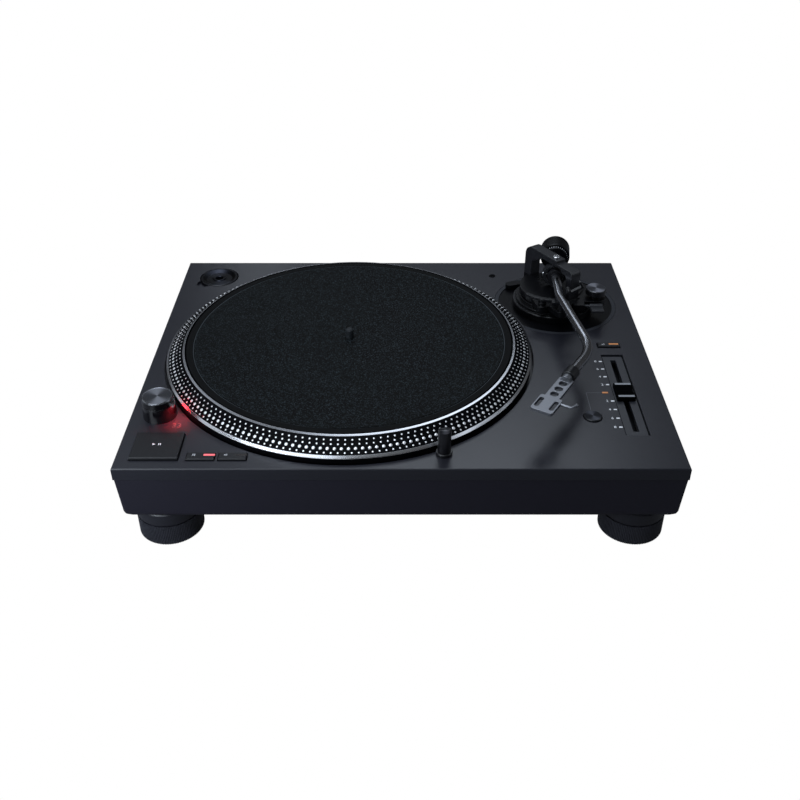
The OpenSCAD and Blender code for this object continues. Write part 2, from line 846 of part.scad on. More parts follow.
// The platter: a revolved casting with a raised rim, a sloped band and a deep skirt
module platter() {
  skirt_z = deck_z - skirt_drop;
  band_z = deck_z + band_up;
  hub_r0 = 14;
  color("#1a1b1f")
    at(spindle_at)
      rotate_extrude($fn = 180)
        polygon([[spindle_r + seat, web_under - 3], [hub_r0, web_under - 3], [hub_r0 + 3, web_under],
            [rim_r - skirt_t, web_under], [platter_r - skirt_t, skirt_z], [platter_r - 0.5, skirt_z],
            [platter_r - 0.5, band_z - 1.2], [platter_r, band_z - 0.7], [platter_r, band_z],
            [platter_r - ring_w, band_z + 0.7], [rim_r, rim_z - 0.6], [rim_r - 0.6, rim_z],
            [rim_r - ring_w, rim_z], [mat_r + 2 * gap, rim_z - 0.6], [mat_r + 2 * gap, mat_floor],
            [spindle_r + seat, mat_floor]]);
}

// The ring magnet under the platter
module rotor_magnet() {
  color("#4b4d52")
    at(spindle_at, magnet_under)
      difference() {
        cylinder(r = magnet_out_r, h = web_under - magnet_under);
        translate([0, 0, -over])
          cylinder(r = magnet_in_r, h = deck_z);
      }
}

// The spindle with the shoulder that carries the platter and its rounded tip
module spindle() {
  shoulder_top = web_under - 3;
  tip = 1.4;
  color("#6f7276")
    at(spindle_at)
      rotate_extrude()
        polygon([[0, housing_under + thrust_t + gap], [spindle_r, housing_under + thrust_t + gap],
            [spindle_r, sleeve_top + gap], [shoulder_r, sleeve_top + gap], [shoulder_r, shoulder_top],
            [spindle_r, shoulder_top], [spindle_r, spindle_tip - tip], [spindle_r - 0.9, spindle_tip - 0.4],
            [spindle_r - 1.8, spindle_tip], [0, spindle_tip]]);
}

// The rubber mat with its moulded ring
module platter_mat() {
  mat_top = mat_floor + mat_t;
  groove = 0.5;
  color("#1c1f22")
    at(spindle_at)
      rotate_extrude($fn = 180)
        polygon([[spindle_r + gap, mat_floor], [mat_r, mat_floor], [mat_r, mat_top - 0.4], [mat_r - 0.4, mat_top],
            [mat_ring_r + 0.6, mat_top], [mat_ring_r + 0.3, mat_top - groove],
            [mat_ring_r - 0.3, mat_top - groove], [mat_ring_r - 0.6, mat_top],
            [spindle_r + gap, mat_top]]);
}

// The main board with its chips, heat sink and capacitors
module main_board() {
  z0 = floor_top + board_stand;
  z1 = z0 + board_t;
  color("#2f6b3f")
    union() {
      slab(main_board_at, main_board_size, z0, z1);
      slab(main_board_at + [-30, 10], [18, 18], z1 - 0.2, z1 + 2);
      slab(main_board_at + [10, -14], [12, 8], z1 - 0.2, z1 + 2);
      for (i = [0 : 4])
        slab(main_board_at + [20 + 5 * i, 26], [2, 22], z1 - 0.2, z1 + 14);
      slab(main_board_at + [30, 26], [24, 22], z1 - 0.2, z1 + 3);
      for (i = [0 : 3])
        at(main_board_at + [-52 + 14 * i, -30], z1 - 0.2)
          cylinder(r = 5, h = 12);
    }
}

// The power board with its transformer and capacitors
module power_board() {
  z0 = floor_top + board_stand;
  z1 = z0 + board_t;
  color("#2f6b3f")
    union() {
      slab(power_board_at, power_board_size, z0, z1);
      slab(power_board_at + [-22, 4], [34, 30], z1 - 0.2, z1 + 18);
      slab(power_board_at + [-22, 4], [26, 40], z1 - 0.2, z1 + 12);
      for (i = [0 : 2])
        at(power_board_at + [10 + 14 * i, -12], z1 - 0.2)
          cylinder(r = 5.5, h = 16);
      slab(power_board_at + [20, 14], [20, 12], z1 - 0.2, z1 + 9);
    }
}

// The two-pin mains inlet at the back
module mains_inlet() {
  bay_back = back - chassis_inset - bay_depth;
  flange_y = 2;
  depth = 11;
  mouth = bay_back + flange_y;
  color("#141518")
    difference() {
      union() {
        slab([mains_bay_x, mouth - inlet_body.y / 4], [inlet_body.x, inlet_body.y / 2],
          socket_z - inlet_h / 2, socket_z + inlet_h / 2);
        slab([mains_bay_x, bay_back + flange_y / 2], [inlet_body.x + 6, flange_y], socket_z - inlet_h / 2 - 2.5,
          socket_z + inlet_h / 2 + 2.5);
      }
      difference() {
        slab([mains_bay_x, mouth - depth / 2 + over / 2], [inlet_body.x - 4, depth + over],
          socket_z - inlet_h / 2 + 1.5, socket_z + inlet_h / 2 - 1.5);
        for (x = [-1, 1])
          translate([mains_bay_x + x * 5, mouth - 2, socket_z])
            rotate([90, 0, 0])
              cylinder(r = 1.2, h = depth);
      }
    }
}

// The two signal jacks and the ground post at the back
module phono_jacks() {
  bay_back = back - chassis_inset - bay_depth;
  places = jack_places();
  color("#c9a24a")
    for (i = [0 : 2])
      translate([places[i], bay_back, socket_z])
        rotate([-90, 0, 0])
          difference() {
            union() {
              translate([0, 0, -8])
                cylinder(r = jack_r, h = 8 + over);
              cylinder(r = jack_r + 2, h = 2);
              cylinder(r = i == 2 ? jack_r / 2 : jack_r, h = 11);
              if (i == 2)
                translate([0, 0, 4])
                  cylinder(r = jack_r + 1, h = 5, $fn = 12);
            }
            if (i < 2)
              translate([0, 0, 2])
                cylinder(r = 1.6, h = 12);
          }
}

// The board under the start, stop and speed buttons, with its switches
module control_board() {
  color("#2f6b3f")
    union() {
      box_between([control_x0, control_y0, board_under], [control_x1, control_y1, board_top]);
      for (place = [start_at, speed_33_at, speed_45_at])
        slab(place, [switch_w, switch_w], board_top - 0.2, switch_top);
    }
}

// The board under the fader, with the switches of the reset and range buttons
module pitch_board() {
  color("#2f6b3f")
    union() {
      box_between([pitch_x0, reset_at.y - 14, board_under],
            [fader_at.x + track_w / 2, range_at.y + 8, board_top]);
      for (place = [reset_at, range_at])
        slab(place, [switch_w, switch_w], board_top - 0.2, switch_top);
    }
}

// The fader's track: a box with a slot along its top
module fader_track() {
  wall = 2;
  cavity_len = 2 * fader_travel + 18;
  color("#3a3a3c")
    difference() {
      slab(fader_at, [track_w, fader_len], track_under, deck_under);
      slab(fader_at, [track_w - 2 * wall, cavity_len], track_under + wall, deck_under - wall);
      slab(fader_at, [fader_slot_w, 2 * fader_travel + 9], deck_under - wall - over, deck_under + over);
    }
}

// The sunk plate with the fader's slot
module fader_plate() {
  color("#44474d")
    difference() {
      slab(fader_at, [fader_w - 2 * seat, fader_len - 2 * seat], deck_under, deck_z - fader_sink);
      slab(fader_at, [fader_slot_w, 2 * fader_travel + 9], deck_under - over, deck_z);
    }
}

// The fader's saddle-shaped knob on its stem and carriage
module pitch_fader_knob() {
  wall = 2;
  knob_z = deck_z - fader_sink + gap;
  knob_top = knob_z + knob_h;
  saddle_r = 17;
  saddle_half = knob_len / 2 - 3.5;
  carriage = [track_w - 2 * wall - 2 * gap, 9];
  color("#2a2c31")
    union() {
      difference() {
        at(fader_at)
          bevelled_block(knob_w, knob_len, knob_z, knob_top, 0.8);
        at(fader_at, knob_top + sqrt(saddle_r * saddle_r - saddle_half * saddle_half))
          rotate([0, 90, 0])
            cylinder(r = saddle_r, h = knob_w + 2 * over, center = true);
      }
      slab(fader_at, [fader_slot_w - 4 * gap, 6], track_under + wall + gap, knob_z + over);
      slab(fader_at, carriage, track_under + wall + gap, deck_under - wall - gap);
    }
}

// The light pipe of the fader's centre lamp
module pitch_lock_lens() {
  color("#ff9a2e")
    slab(lock_lamp_at, lock_lamp_size, board_top, deck_z + 0.3);
}

// A rectangular push button with a retaining flange along its front half
module push_button(place, w, d, up, flange_back) {
  union() {
    at(place)
      bevelled_block(w, d, flange_under, deck_z + up, button_bevel);
    box_between([place.x - w / 2 - flange_w, place.y - d / 2 - flange_w, flange_under],
          [place.x + w / 2 + flange_w, place.y + flange_back, flange_top]);
  }
}

// The start and stop button
module start_stop_button() {
  color("#33363c")
    push_button(start_at, start_w, start_d, start_up, start_d / 2 + flange_w);
}

// The first speed button
module speed_33_button() {
  color("#2c2e34")
    push_button(speed_33_at, speed_w, speed_d, small_up, 0);
}

// The second speed button
module speed_45_button() {
  color("#2c2e34")
    push_button(speed_45_at, speed_w, speed_d, small_up, 0);
}

// The pitch range button
module pitch_range_button() {
  color("#2c2e34")
    push_button(range_at, range_w, range_d, small_up, range_d / 2 + flange_w);
}

// The round reset button
module reset_button() {
  color("#2c2e34")
    at(reset_at)
      union() {
        bevelled_disc(reset_r, flange_under, deck_z + small_up, button_bevel);
        translate([0, 0, flange_under])
          cylinder(r = reset_r + flange_w, h = flange_t);
      }
}

// The direction that the strobe shines in
strobe_aim = atan2(spindle_at.y - strobe_at.y, spindle_at.x - strobe_at.x);
strobe_bore_r = 4;
strobe_lens_t = 3;

// The strobe's tapered housing with its window pocket
module strobe_housing() {
  color("#121317")
    at(strobe_at, deck_z)
      difference() {
        cylinder(r1 = strobe_r, r2 = dial_r + gap, h = strobe_h);
        translate([0, 0, 2])
          cylinder(r = strobe_bore_r + fit, h = strobe_h);
        rotate([0, 0, strobe_aim])
          box_between([strobe_r - strobe_lens_t - 3, -strobe_window_w / 2, 2],
                [strobe_r + over, strobe_window_w / 2, 2 + strobe_window_h]);
      }
}

// The strobe's red window
module strobe_lens() {
  color("#d0182a")
    at(strobe_at, deck_z)
      rotate([0, 0, strobe_aim])
        box_between([strobe_r - strobe_lens_t - 3 + seat, seat - strobe_window_w / 2, 2 + seat],
              [strobe_r - 3, strobe_window_w / 2 - seat, 2 + strobe_window_h - seat]);
}

// The power dial, which turns on top of the strobe housing
module power_dial() {
  z0 = deck_z + strobe_h + gap;
  color("#16171b")
    at(strobe_at)
      union() {
        rotate_extrude()
          polygon([[0, z0], [dial_r + 0.2, z0], [dial_r, z0 + dial_h - 0.8], [dial_r - 0.8, z0 + dial_h],
              [dial_r - 1.4, z0 + dial_h], [dial_r - 1.7, z0 + dial_h - 0.3], [0, z0 + dial_h - 0.3]]);
        translate([0, 0, z0 - strobe_h + 3])
          cylinder(r = strobe_bore_r, h = strobe_h - 3 + over);
      }
}

// The target light's post with its slanted top
module target_light_post() {
  z0 = deck_z - target_down;
  lamp_z = deck_z + target_up - 8;
  color("#8a8d93")
    at(target_at)
      difference() {
        translate([0, 0, z0])
          cylinder(r = target_r, h = target_down + target_up);
        translate([0, 0, deck_z + target_up - 2.2])
          rotate([-24, 0, 0])
            slab([0, 0], [4 * target_r, 4 * target_r], 0, 2 * target_r);
        translate([0, 0, lamp_z])
          rotate([-90, 0, 0])
            cylinder(r = 2.4 + seat, h = target_r + over);
      }
}

// The target light's lamp, set in the side of the post
module target_light_lamp() {
  lamp_z = deck_z + target_up - 8;
  color("#f4f1e4")
    at(target_at, lamp_z)
      rotate([-90, 0, 0])
        cylinder(r = 2.4, h = target_r - 0.8);
}

// The collar and guide tube that the target light slides in
module target_light_collar() {
  tube_len = target_down + target_travel + 3;
  color("#4c4f55")
    at(target_at)
      difference() {
        union() {
          translate([0, 0, deck_z - tube_len])
            cylinder(r = target_out_r, h = tube_len);
          translate([0, 0, deck_z])
            bevelled_disc(target_out_r + 0.4, 0, target_collar_h, 0.5);
        }
        translate([0, 0, deck_z - tube_len + 1.5])
          cylinder(r = target_r + fit, h = tube_len + target_collar_h);
      }
}

// The large-hole record adaptor: a dished disc with a centre hole
module record_adaptor() {
  z0 = deck_z - adaptor_depth;
  top = deck_z + 0.6;
  color("#b9bcc2")
    at(adaptor_at)
      rotate_extrude()
        polygon([[spindle_r + 0.15, z0], [adaptor_r - 0.6, z0], [adaptor_r, z0 + 0.6], [adaptor_r, top - 0.6],
            [adaptor_r - 0.6, top], [adaptor_r - 2.2, top], [adaptor_r - 6, top - 2.2],
            [spindle_r + 3.2, top - 2.2], [spindle_r + 2.4, top - 1.2], [spindle_r + 0.7, top - 1.2],
            [spindle_r + 0.15, top - 1.8]]);
}

// The round plate under the arm, with the guide that the turret rises in
module arm_mount() {
  color("#35383e")
    difference() {
      union() {
        translate([0, 0, deck_z - arm_plate_t])
          linear_extrude(height = arm_plate_t)
            arm_plate_outline(-gap / 2);
        at(pivot_at, deck_z - turret_down - 3)
          cylinder(r = guide_r, h = plate_top - deck_z + turret_down + 3);
        at(lock_lever_at, deck_under - 2)
          cylinder(r = lock_pin_r + 2.5, h = deck_t + 1);
      }
      at(pivot_at, deck_z - turret_down - 3 - over)
        cylinder(r = turret_r + fit, h = deck_z);
      translate([0, 0, plate_top])
        linear_extrude(height = arm_plate_sink + over)
          arm_plate_outline(-gap / 2 - arm_rim_w);
      at(lock_lever_at, deck_under - 2 - over)
        cylinder(r = lock_pin_r + fit, h = deck_t + 4);
    }
}

// The stepped ring that raises and lowers the arm
module height_ring() {
  z0 = plate_top + 0.1;
  z1 = deck_z + height_ring_h;
  step1 = height_ring_h * 0.55;
  step2 = height_ring_h * 0.77;
  color("#202226")
    at(pivot_at)
      rotate_extrude()
        polygon([[turret_r + gap, z0], [height_ring_r, z0], [height_ring_r, deck_z + step1 - 0.8],
            [height_ring_r - 0.8, deck_z + step1], [height_ring_r - 3, deck_z + step1],
            [height_ring_r - 3, deck_z + step2 - 0.5], [height_ring_r - 3.5, deck_z + step2],
            [height_ring_r - 6, deck_z + step2], [height_ring_r - 6, z1 - 0.5],
            [height_ring_r - 6.5, z1], [turret_r + gap, z1]]);
}

// The lever that locks the height ring
module height_lock_lever() {
  z0 = deck_z + 0.1;
  reach = 9;
  color("#101114")
    at(lock_lever_at)
      union() {
        rotate([0, 0, 20])
          translate([reach / 2, 0, z0])
            linear_extrude(height = 4.5)
              round_rect(reach + 8.4, 8.6, 4);
        translate([0, 0, deck_under - 2])
          cylinder(r = lock_pin_r, h = deck_t + 4);
      }
}

// The turret with its shelf for the arm's controls
module arm_turret() {
  rest_foot = bend1_at + [3, 0];
  collar_z = shelf_z + 0.6;
  color("#1d1f23")
    difference() {
      union() {
        at(pivot_at)
          rotate_extrude()
            polygon([[0, deck_z + 8], [turret_r - guide_wall, deck_z + 8],
                [turret_r - guide_wall, deck_z - turret_down], [turret_r, deck_z - turret_down],
                [turret_r, turret_top - 0.6], [turret_r - 0.6, turret_top], [3, turret_top],
                [3, turret_top + 1.1], [pin_r, turret_top + 1.1], [pin_r, turret_top + 3.2],
                [0, turret_top + 3.2]]);
        at(pivot_at)
          rotate([0, 0, arch_angle])
            intersection() {
              union() {
                translate([0, 0, collar_z])
                  cylinder(r = collar_r, h = turret_top - collar_z);
                box_between([-arch_back, -arch_t / 2, collar_z], [0, arch_t / 2, turret_top]);
              }
              box_between([-2 * collar_r, -2 * collar_r, 0], [2 * collar_r, arch_t / 2, arch_top]);
            }
        link_plate(pivot_at, turret_r - 1, skate_at, skate_r, shelf_z, shelf_z + shelf_t);
        link_plate(pivot_at, turret_r - 1, rest_foot, 6, shelf_z, shelf_z + shelf_t);
        link_plate(pivot_at, turret_r - 1, lifter_at, 5.5, shelf_z, shelf_z + shelf_t);
        at(skate_at, shelf_z)
          cylinder(r = skate_r - 4.3, h = shelf_t + 4);
        at(skate_at, shelf_z + shelf_t)
          cylinder(r = 2, h = 8);
        box_between([cue_at.x + cue_block_x - cue_block_w / 2, cue_at.y - 3.5, shelf_z],
              [cue_at.x + cue_block_x + cue_block_w / 2, cue_at.y + 8, shelf_z + shelf_t]);
        at(lifter_at, shelf_z)
          cylinder(r = lifter_post_r + fit + 1.4, h = shelf_t + 3.5);
      }
      translate([cue_at.x + cue_block_x - cue_block_w / 2 + 1.5, cue_at.y, cue_z])
        rotate([0, 90, 0])
          cylinder(r = cue_shaft_r + fit, h = cue_block_w + over);
      at(lifter_at, shelf_z - over)
        cylinder(r = lifter_post_r + fit, h = shelf_t + 20);
    }
}

// The arch that holds the upper pivot over the turret
module arm_arch() {
  middle = (arch_front - arch_back) / 2;
  inner_back = arch_back_leg - arch_back;
  inner_front = arch_front - arch_front_leg;
  clear = gimbal_r + 2;
  color("#15161a")
    at(pivot_at)
      rotate([0, 0, arch_angle])
        difference() {
          rotate([90, 0, 0])
            linear_extrude(height = arch_t, center = true)
              difference() {
                translate([middle, 0])
                  round_top(arch_front - middle, turret_top, arch_top, arch_corner);
                polygon([[inner_back, turret_top - over], [inner_back, arch_top - arch_haunch - 2],
                    [inner_back + 2, arch_top - arch_haunch], [-clear, beam_under], [clear, beam_under],
                    [clear + 1, beam_under - 2], [inner_front - 2, beam_under - 4], [inner_front, beam_under - 6],
                    [inner_front, turret_top - over]]);
                translate([7, arch_top - arch_step])
                  square([arch_front, arch_step + over]);
              }
          translate([0, 0, beam_under - over])
            cylinder(r = 2.2 + seat, h = arch_beam + 2 * over);
        }
}

// The slotted screw that carries the gimbal ring's upper pivot
module arch_screw() {
  color("#c4c7cc")
    at(pivot_at)
      difference() {
        rotate_extrude()
          polygon([[0, beam_under - 2.4], [pin_r, beam_under - 2.4], [pin_r, beam_under], [2.2, beam_under],
              [2.2, arch_top], [3.4, arch_top], [3.4, arch_top + 1.3], [2.9, arch_top + 1.8],
              [0, arch_top + 1.8]]);
        slab([0, 0], [8, 0.9], arch_top + 1, arch_top + 3);
      }
}

// Puts a shape in the arm's own frame: the pivot at the origin, straight ahead towards -Y
module in_arm() {
  at(pivot_at, arm_z)
    rotate([0, 0, rear_heading])
      children();
}

// Puts a shape in the counterweight shaft's frame: the pivot at the origin, the shaft towards +Y
module in_shaft() {
  at(pivot_at, arm_z)
    rotate([0, 0, shaft_heading])
      children();
}

// The ring that swings about the upright pivots and carries the arm's hub
module gimbal_ring() {
  color("#2a2c31")
    in_arm()
      difference() {
        rotate([90, 0, 0])
          cylinder(r = gimbal_r, h = gimbal_w, center = true);
        rotate([90, 0, 0])
          cylinder(r = gimbal_r - gimbal_wall, h = gimbal_w + 2 * over, center = true);
        cylinder(r = pin_r + fit, h = 4 * gimbal_r, center = true);
        rotate([0, 90, 0])
          cylinder(r = 2.2 + seat, h = 4 * gimbal_r, center = true);
      }
}

// The two side screws that the arm tilts on
module gimbal_screws() {
  inner = gimbal_r - gimbal_wall - 0.6;
  color("#c4c7cc")
    in_arm()
      for (side = [-1, 1])
        rotate([0, side * 90, 0])
          rotate_extrude()
            polygon([[0, hub_r - 3], [pin_r, hub_r - 3], [pin_r, inner], [2.2, inner],
                [2.2, gimbal_r + 0.6], [1.7, gimbal_r + 1], [0, gimbal_r + 1]]);
}

// A straight stretch of the arm tube
module tube_stretch(place, heading, len, r = tube_r) {
  at(place, arm_z)
    rotate([90, 0, heading])
      cylinder(r = r, h = len);
}

// A bend of the arm tube that starts at a place and turns from one heading to another
module tube_bend(place, heading, next, bend_r) {
  turn = next - heading;
  side = sign(turn);
  middle = place + side * bend_r * [cos(heading), sin(heading)];
  at(middle, arm_z)
    rotate([0, 0, turn > 0 ? heading + 180 : next])
      rotate_extrude(angle = abs(turn))
        translate([bend_r, 0])
          circle(r = tube_r - seat);
}

// The S-shaped arm tube with its hub and the shaft of the counterweight
module arm_tube() {
  lap = 0.4;
  bend1_start = bend1_at - bend1_trim * ahead(rear_heading);
  bend1_end = bend1_at + bend1_trim * ahead(mid_heading);
  bend2_start = bend2_at - bend2_trim * ahead(mid_heading);
  bend2_end = bend2_at + bend2_trim * ahead(front_heading);
  color("#c9ccd2")
    difference() {
      union() {
        tube_stretch(pivot_at, rear_heading, rear_len - bend1_trim + lap);
        tube_bend(bend1_start, rear_heading, mid_heading, bend1_r);
        tube_stretch(bend1_end - lap * ahead(mid_heading), mid_heading,
              mid_len - bend1_trim - bend2_trim + 2 * lap);
        tube_bend(bend2_start, mid_heading, front_heading, bend2_r);
        tube_stretch(bend2_end - lap * ahead(front_heading), front_heading, front_len - bend2_trim + lap);
        in_arm()
          rotate([-90, 0, 0])
            translate([0, 0, -7])
              cylinder(r = hub_r, h = 14);
        in_shaft()
          rotate([-90, 0, 0])
            cylinder(r = rear_shaft_r, h = rear_shaft_len);
      }
      in_arm()
        for (side = [-1, 1])
          rotate([0, side * 90, 0])
            translate([0, 0, hub_r - 3 - gap])
              cylinder(r = pin_r + fit, h = hub_r);
      in_shell()
        rotate([-90, 0, 0])
          translate([0, 0, -over])
            cylinder(r = socket_r, h = socket_len + over);
    }
}

// The counterweight with the neck that carries the force dial
module counterweight() {
  neck_r = 6;
  color("#1b1c20")
    in_shaft()
      rotate([-90, 0, 0])
        rotate_extrude()
          polygon([[rear_shaft_r + fit, weight_at - force_dial_w], [neck_r, weight_at - force_dial_w],
              [neck_r, weight_at], [weight_r - 1, weight_at], [weight_r, weight_at + 1],
              [weight_r, weight_at + weight_len - 5], [weight_r - 0.8, weight_at + weight_len - 4.4],
              [weight_r - 0.8, weight_at + weight_len - 3.6], [weight_r, weight_at + weight_len - 3],
              [weight_r, weight_at + weight_len - 1], [weight_r - 1, weight_at + weight_len],
              [rear_shaft_r + fit, weight_at + weight_len]]);
}

// The ring with the tracking force scale
module tracking_force_dial() {
  neck_r = 6;
  color("#26282d")
    in_shaft()
      rotate([-90, 0, 0])
        rotate_extrude()
          polygon([[neck_r + fit, weight_at - force_dial_w], [force_dial_r - 0.8, weight_at - force_dial_w],
              [force_dial_r, weight_at - force_dial_w + 0.8], [force_dial_r, weight_at - gap],
              [neck_r + fit, weight_at - gap]]);
}

// Puts a shape in the headshell's frame: the tube's end at the origin, straight ahead towards -Y
module in_shell() {
  at(collar_at, arm_z)
    rotate([0, 0, front_heading])
      children();
}

// The collar that locks the headshell to the tube
module headshell_collar() {
  r = tube_r + fit + collar_wall;
  color("#17181b")
    in_shell()
      rotate([90, 0, 0])
        rotate_extrude()
          polygon([[tube_r + fit, -2], [r - 0.5, -2], [r, -1.5], [r, collar_len - 2.5], [r - 0.5, collar_len - 2],
              [tube_r + fit, collar_len - 2]]);
}

// The headshell: a pierced plate with two slots for a cartridge, on a plug that fits the tube
module headshell() {
  shell_y = collar_len - 2 + plug_gap;
  front_y = shell_y + shell_rear_len;
  total = front_y + shell_front_len;
  plate_top = -0.5;
  color("#a9acb2")
    in_shell()
      difference() {
        union() {
          translate([0, 0, plate_top - shell_t])
            linear_extrude(height = shell_t) {
              translate([0, -shell_y - shell_rear_len / 2 - 2])
                round_rect(shell_rear_w, shell_rear_len + 4, 2);
              translate([0, -front_y - shell_front_len / 2])
                round_rect(shell_front_w, shell_front_len, 2);
            }
          rotate([90, 0, 0]) {
            translate([0, 0, plug_gap])
              cylinder(r = tube_r, h = shell_y + 5);
            translate([0, 0, gap - socket_len])
              cylinder(r = socket_r - fit, h = socket_len);
          }
        }
        for (i = [0 : 2])
          translate([0, -shell_y - 9 - 8.6 * i, -shell_t * 2])
            cylinder(r = shell_hole_r, h = 3 * shell_t);
        for (side = [-1, 1])
          translate([side * slot_pitch / 2, -total + shell_front_len / 2, -shell_t * 2])
            linear_extrude(height = 3 * shell_t)
              round_rect(slot_w, slot_len, slot_w / 2 - 0.01);
      }
}

// The curved finger lift at the headshell's side
module finger_lift() {
  root = [shell_front_w / 2 + seat, -(collar_len + shell_rear_len + 3), -0.5 - shell_t / 2];
  reach = 6;
  curl_r = 7;
  curl = 45;
  lap = 0.3;
  color("#c9ccd2")
    in_shell()
      translate(root)
        union() {
          rotate([0, 90, 0])
            cylinder(r = lift_rod_r, h = reach + lap);
          translate([reach, 0, curl_r])
            rotate([90, 0, 0])
              rotate([0, 0, -90])
                rotate_extrude(angle = curl)
                  translate([curl_r, 0])
                    circle(r = lift_rod_r - 3 * seat);
          translate([reach + curl_r * sin(curl), 0, curl_r * (1 - cos(curl))])
            rotate([0, 90 - curl, 0])
              translate([0, 0, -lap])
                cylinder(r = lift_rod_r, h = 4 + lap);
        }
}

// The arm rest: a post, a pad under the tube, a wall beside it and the clip's pin
module arm_rest() {
  x = bend1_at.x;
  y = bend1_at.y;
  wall_x = x + rest_wall_x;
  pin_x = wall_x + rest_t / 2;
  color("#1d1f23")
    union() {
      at(bend1_at + [3, 0], shelf_z + shelf_t)
        cylinder(r = 3.5, h = rest_top - rest_t / 2 - shelf_z - shelf_t);
      box_between([x - tube_r - 3, y - rest_len / 2, rest_top - rest_t],
            [wall_x + rest_t, y + rest_len / 2, rest_top]);
      box_between([wall_x, y + gap, rest_top - rest_t], [wall_x + rest_t, y + rest_len / 2, clip_z]);
      translate([pin_x, y + rest_len / 2, clip_z])
        rotate([90, 0, 0])
          cylinder(r = clip_r, h = rest_len / 2 - gap);
      translate([pin_x, y + rest_len / 2 - over, clip_z])
        rotate([90, 0, 0])
          cylinder(r = clip_pin_r, h = rest_len - over);
    }
}

// The clip that locks the arm on its rest, swung open
module arm_clip() {
  y = bend1_at.y;
  pin_x = bend1_at.x + rest_wall_x + rest_t / 2;
  reach = rest_wall_x + rest_t / 2 + tube_r + 2.6;
  thick = 1.8;
  color("#1d1f23")
    translate([pin_x, y, clip_z])
      rotate([0, clip_open, 0])
        difference() {
          union() {
            rotate([90, 0, 0])
              cylinder(r = clip_r, h = rest_len / 2);
            box_between([-reach, -rest_len / 2, clip_r - thick], [0, 0, clip_r]);
            box_between([-reach, -rest_len / 2, -5], [thick - reach, 0, clip_r]);
          }
          translate([0, over, 0])
            rotate([90, 0, 0])
              cylinder(r = clip_pin_r + fit, h = rest_len);
        }
}

// The cue lever: a paddle on a shaft that turns in the turret's block
module cue_lever() {
  shaft_x0 = cue_block_x - cue_block_w / 2 + 1.5 + gap;
  hub = 2.6;
  color("#5d6066")
    translate([cue_at.x, cue_at.y, cue_z])
      union() {
        translate([shaft_x0, 0, 0])
          rotate([0, 90, 0])
            cylinder(r = cue_shaft_r, h = cue_paddle_x - cue_w / 2 + over - shaft_x0);
        translate([cue_paddle_x - cue_w / 2, 0, 0])
          rotate([0, 90, 0])
            cylinder(r = hub, h = cue_w);
        translate([cue_paddle_x, -cue_len / 2, 0])
          bevelled_block(cue_w, cue_len, -1, 1.6, 0.6);
      }
}

// The arm lifter: a curved bar on the post that rises through the turret's shelf
module arm_lifter() {
  color("#2a2c31")
    union() {
      at(pivot_at, lifter_top - lifter_bar_h)
        rotate([0, 0, lifter_last - 90])
          rotate_extrude(angle = lifter_first - lifter_last)
            translate([lifter_r - lifter_bar_w / 2, 0])
              square([lifter_bar_w, lifter_bar_h]);
      at(lifter_at, shelf_z - 3)
        cylinder(r = lifter_post_r, h = lifter_top - 0.5 - shelf_z + 3);
    }
}

// The anti-skate dial on its column
module anti_skate_dial() {
  z0 = shelf_z + shelf_t + 4 + gap;
  z1 = deck_z + skate_up;
  color("#2a2c31")
    at(skate_at)
      difference() {
        bevelled_disc(skate_r, z0, z1, 0.7);
        translate([0, 0, z0 - over])
          cylinder(r = 2 + fit, h = 6);
      }
}

// A foot: a smooth upper drum, a knurled ring, a stud and a socket for the sole
module foot(side, end) {
  step = 360 / knurl_count;
  top = foot_h - gap;
  low = sole_t * 0.5;
  socket_h = 5;
  color("#1f2126")
    at(foot_at(side, end))
      difference() {
        union() {
          rotate_extrude()
            polygon([[0, low], [foot_r - 3, low], [foot_r - 2, low + 1.5], [foot_r - 2, knurl_top + 1.3],
                [foot_r - 0.2, knurl_top + 1.3], [foot_r - 0.2, top - 1], [foot_r - 1.2, top], [0, top]]);
          translate([0, 0, low + 1.5])
            linear_extrude(height = knurl_top - low - 1.5)
              polygon([for (i = [0 : knurl_count - 1]) for (q = [0.06, 0.44, 0.56, 0.94])
                (q < 0.5 ? foot_r : foot_r - knurl_depth) * [cos((i + q) * step), sin((i + q) * step)]]);
          translate([0, 0, top - over])
            cylinder(r = stud_r, h = stud_len + over);
        }
        translate([0, 0, low - over])
          cylinder(r = sole_r + fit, h = sole_t - low + over + gap);
        cylinder(r = 8 + fit, h = sole_t + socket_h + gap);
      }
}

// The rubber sole under a foot, with the spigot that the foot turns on
module sole(side, end) {
  color("#0e0f11")
    at(foot_at(side, end))
      union() {
        rotate_extrude()
          polygon([[0, 0], [sole_r - 0.8, 0], [sole_r, 0.8], [sole_r, sole_t], [0, sole_t]]);
        cylinder(r = 8, h = sole_t + 5);
      }
}

top_cabinet();
lower_chassis();
cabinet_screws();
motor_base();
stator();
bearing_sleeve();
main_board();
power_board();
mains_inlet();
phono_jacks();
control_board();
pitch_board();
fader_track();
fader_plate();
strobe_housing();
strobe_lens();
target_light_collar();
pitch_lock_lens();
arm_mount();
platter();
rotor_magnet();
spindle();
platter_mat();
start_stop_button();
speed_33_button();
speed_45_button();
pitch_range_button();
reset_button();
power_dial();
target_light_post();
target_light_lamp();
pitch_fader_knob();
record_adaptor();
height_ring();
height_lock_lever();
arm_turret();
arm_arch();
arch_screw();
arm_rest();
arm_clip();
cue_lever();
arm_lifter();
anti_skate_dial();
gimbal_ring();
gimbal_screws();
arm_tube();
counterweight();
tracking_force_dial();
headshell_collar();
headshell();
finger_lift();
foot(-1, -1);  // foot_front_left
foot(1, -1);  // foot_front_right
foot(-1, 1);  // foot_back_left
foot(1, 1);  // foot_back_right
sole(-1, -1);  // sole_front_left
sole(1, -1);  // sole_front_right
sole(-1, 1);  // sole_back_left
sole(1, 1);  // sole_back_right
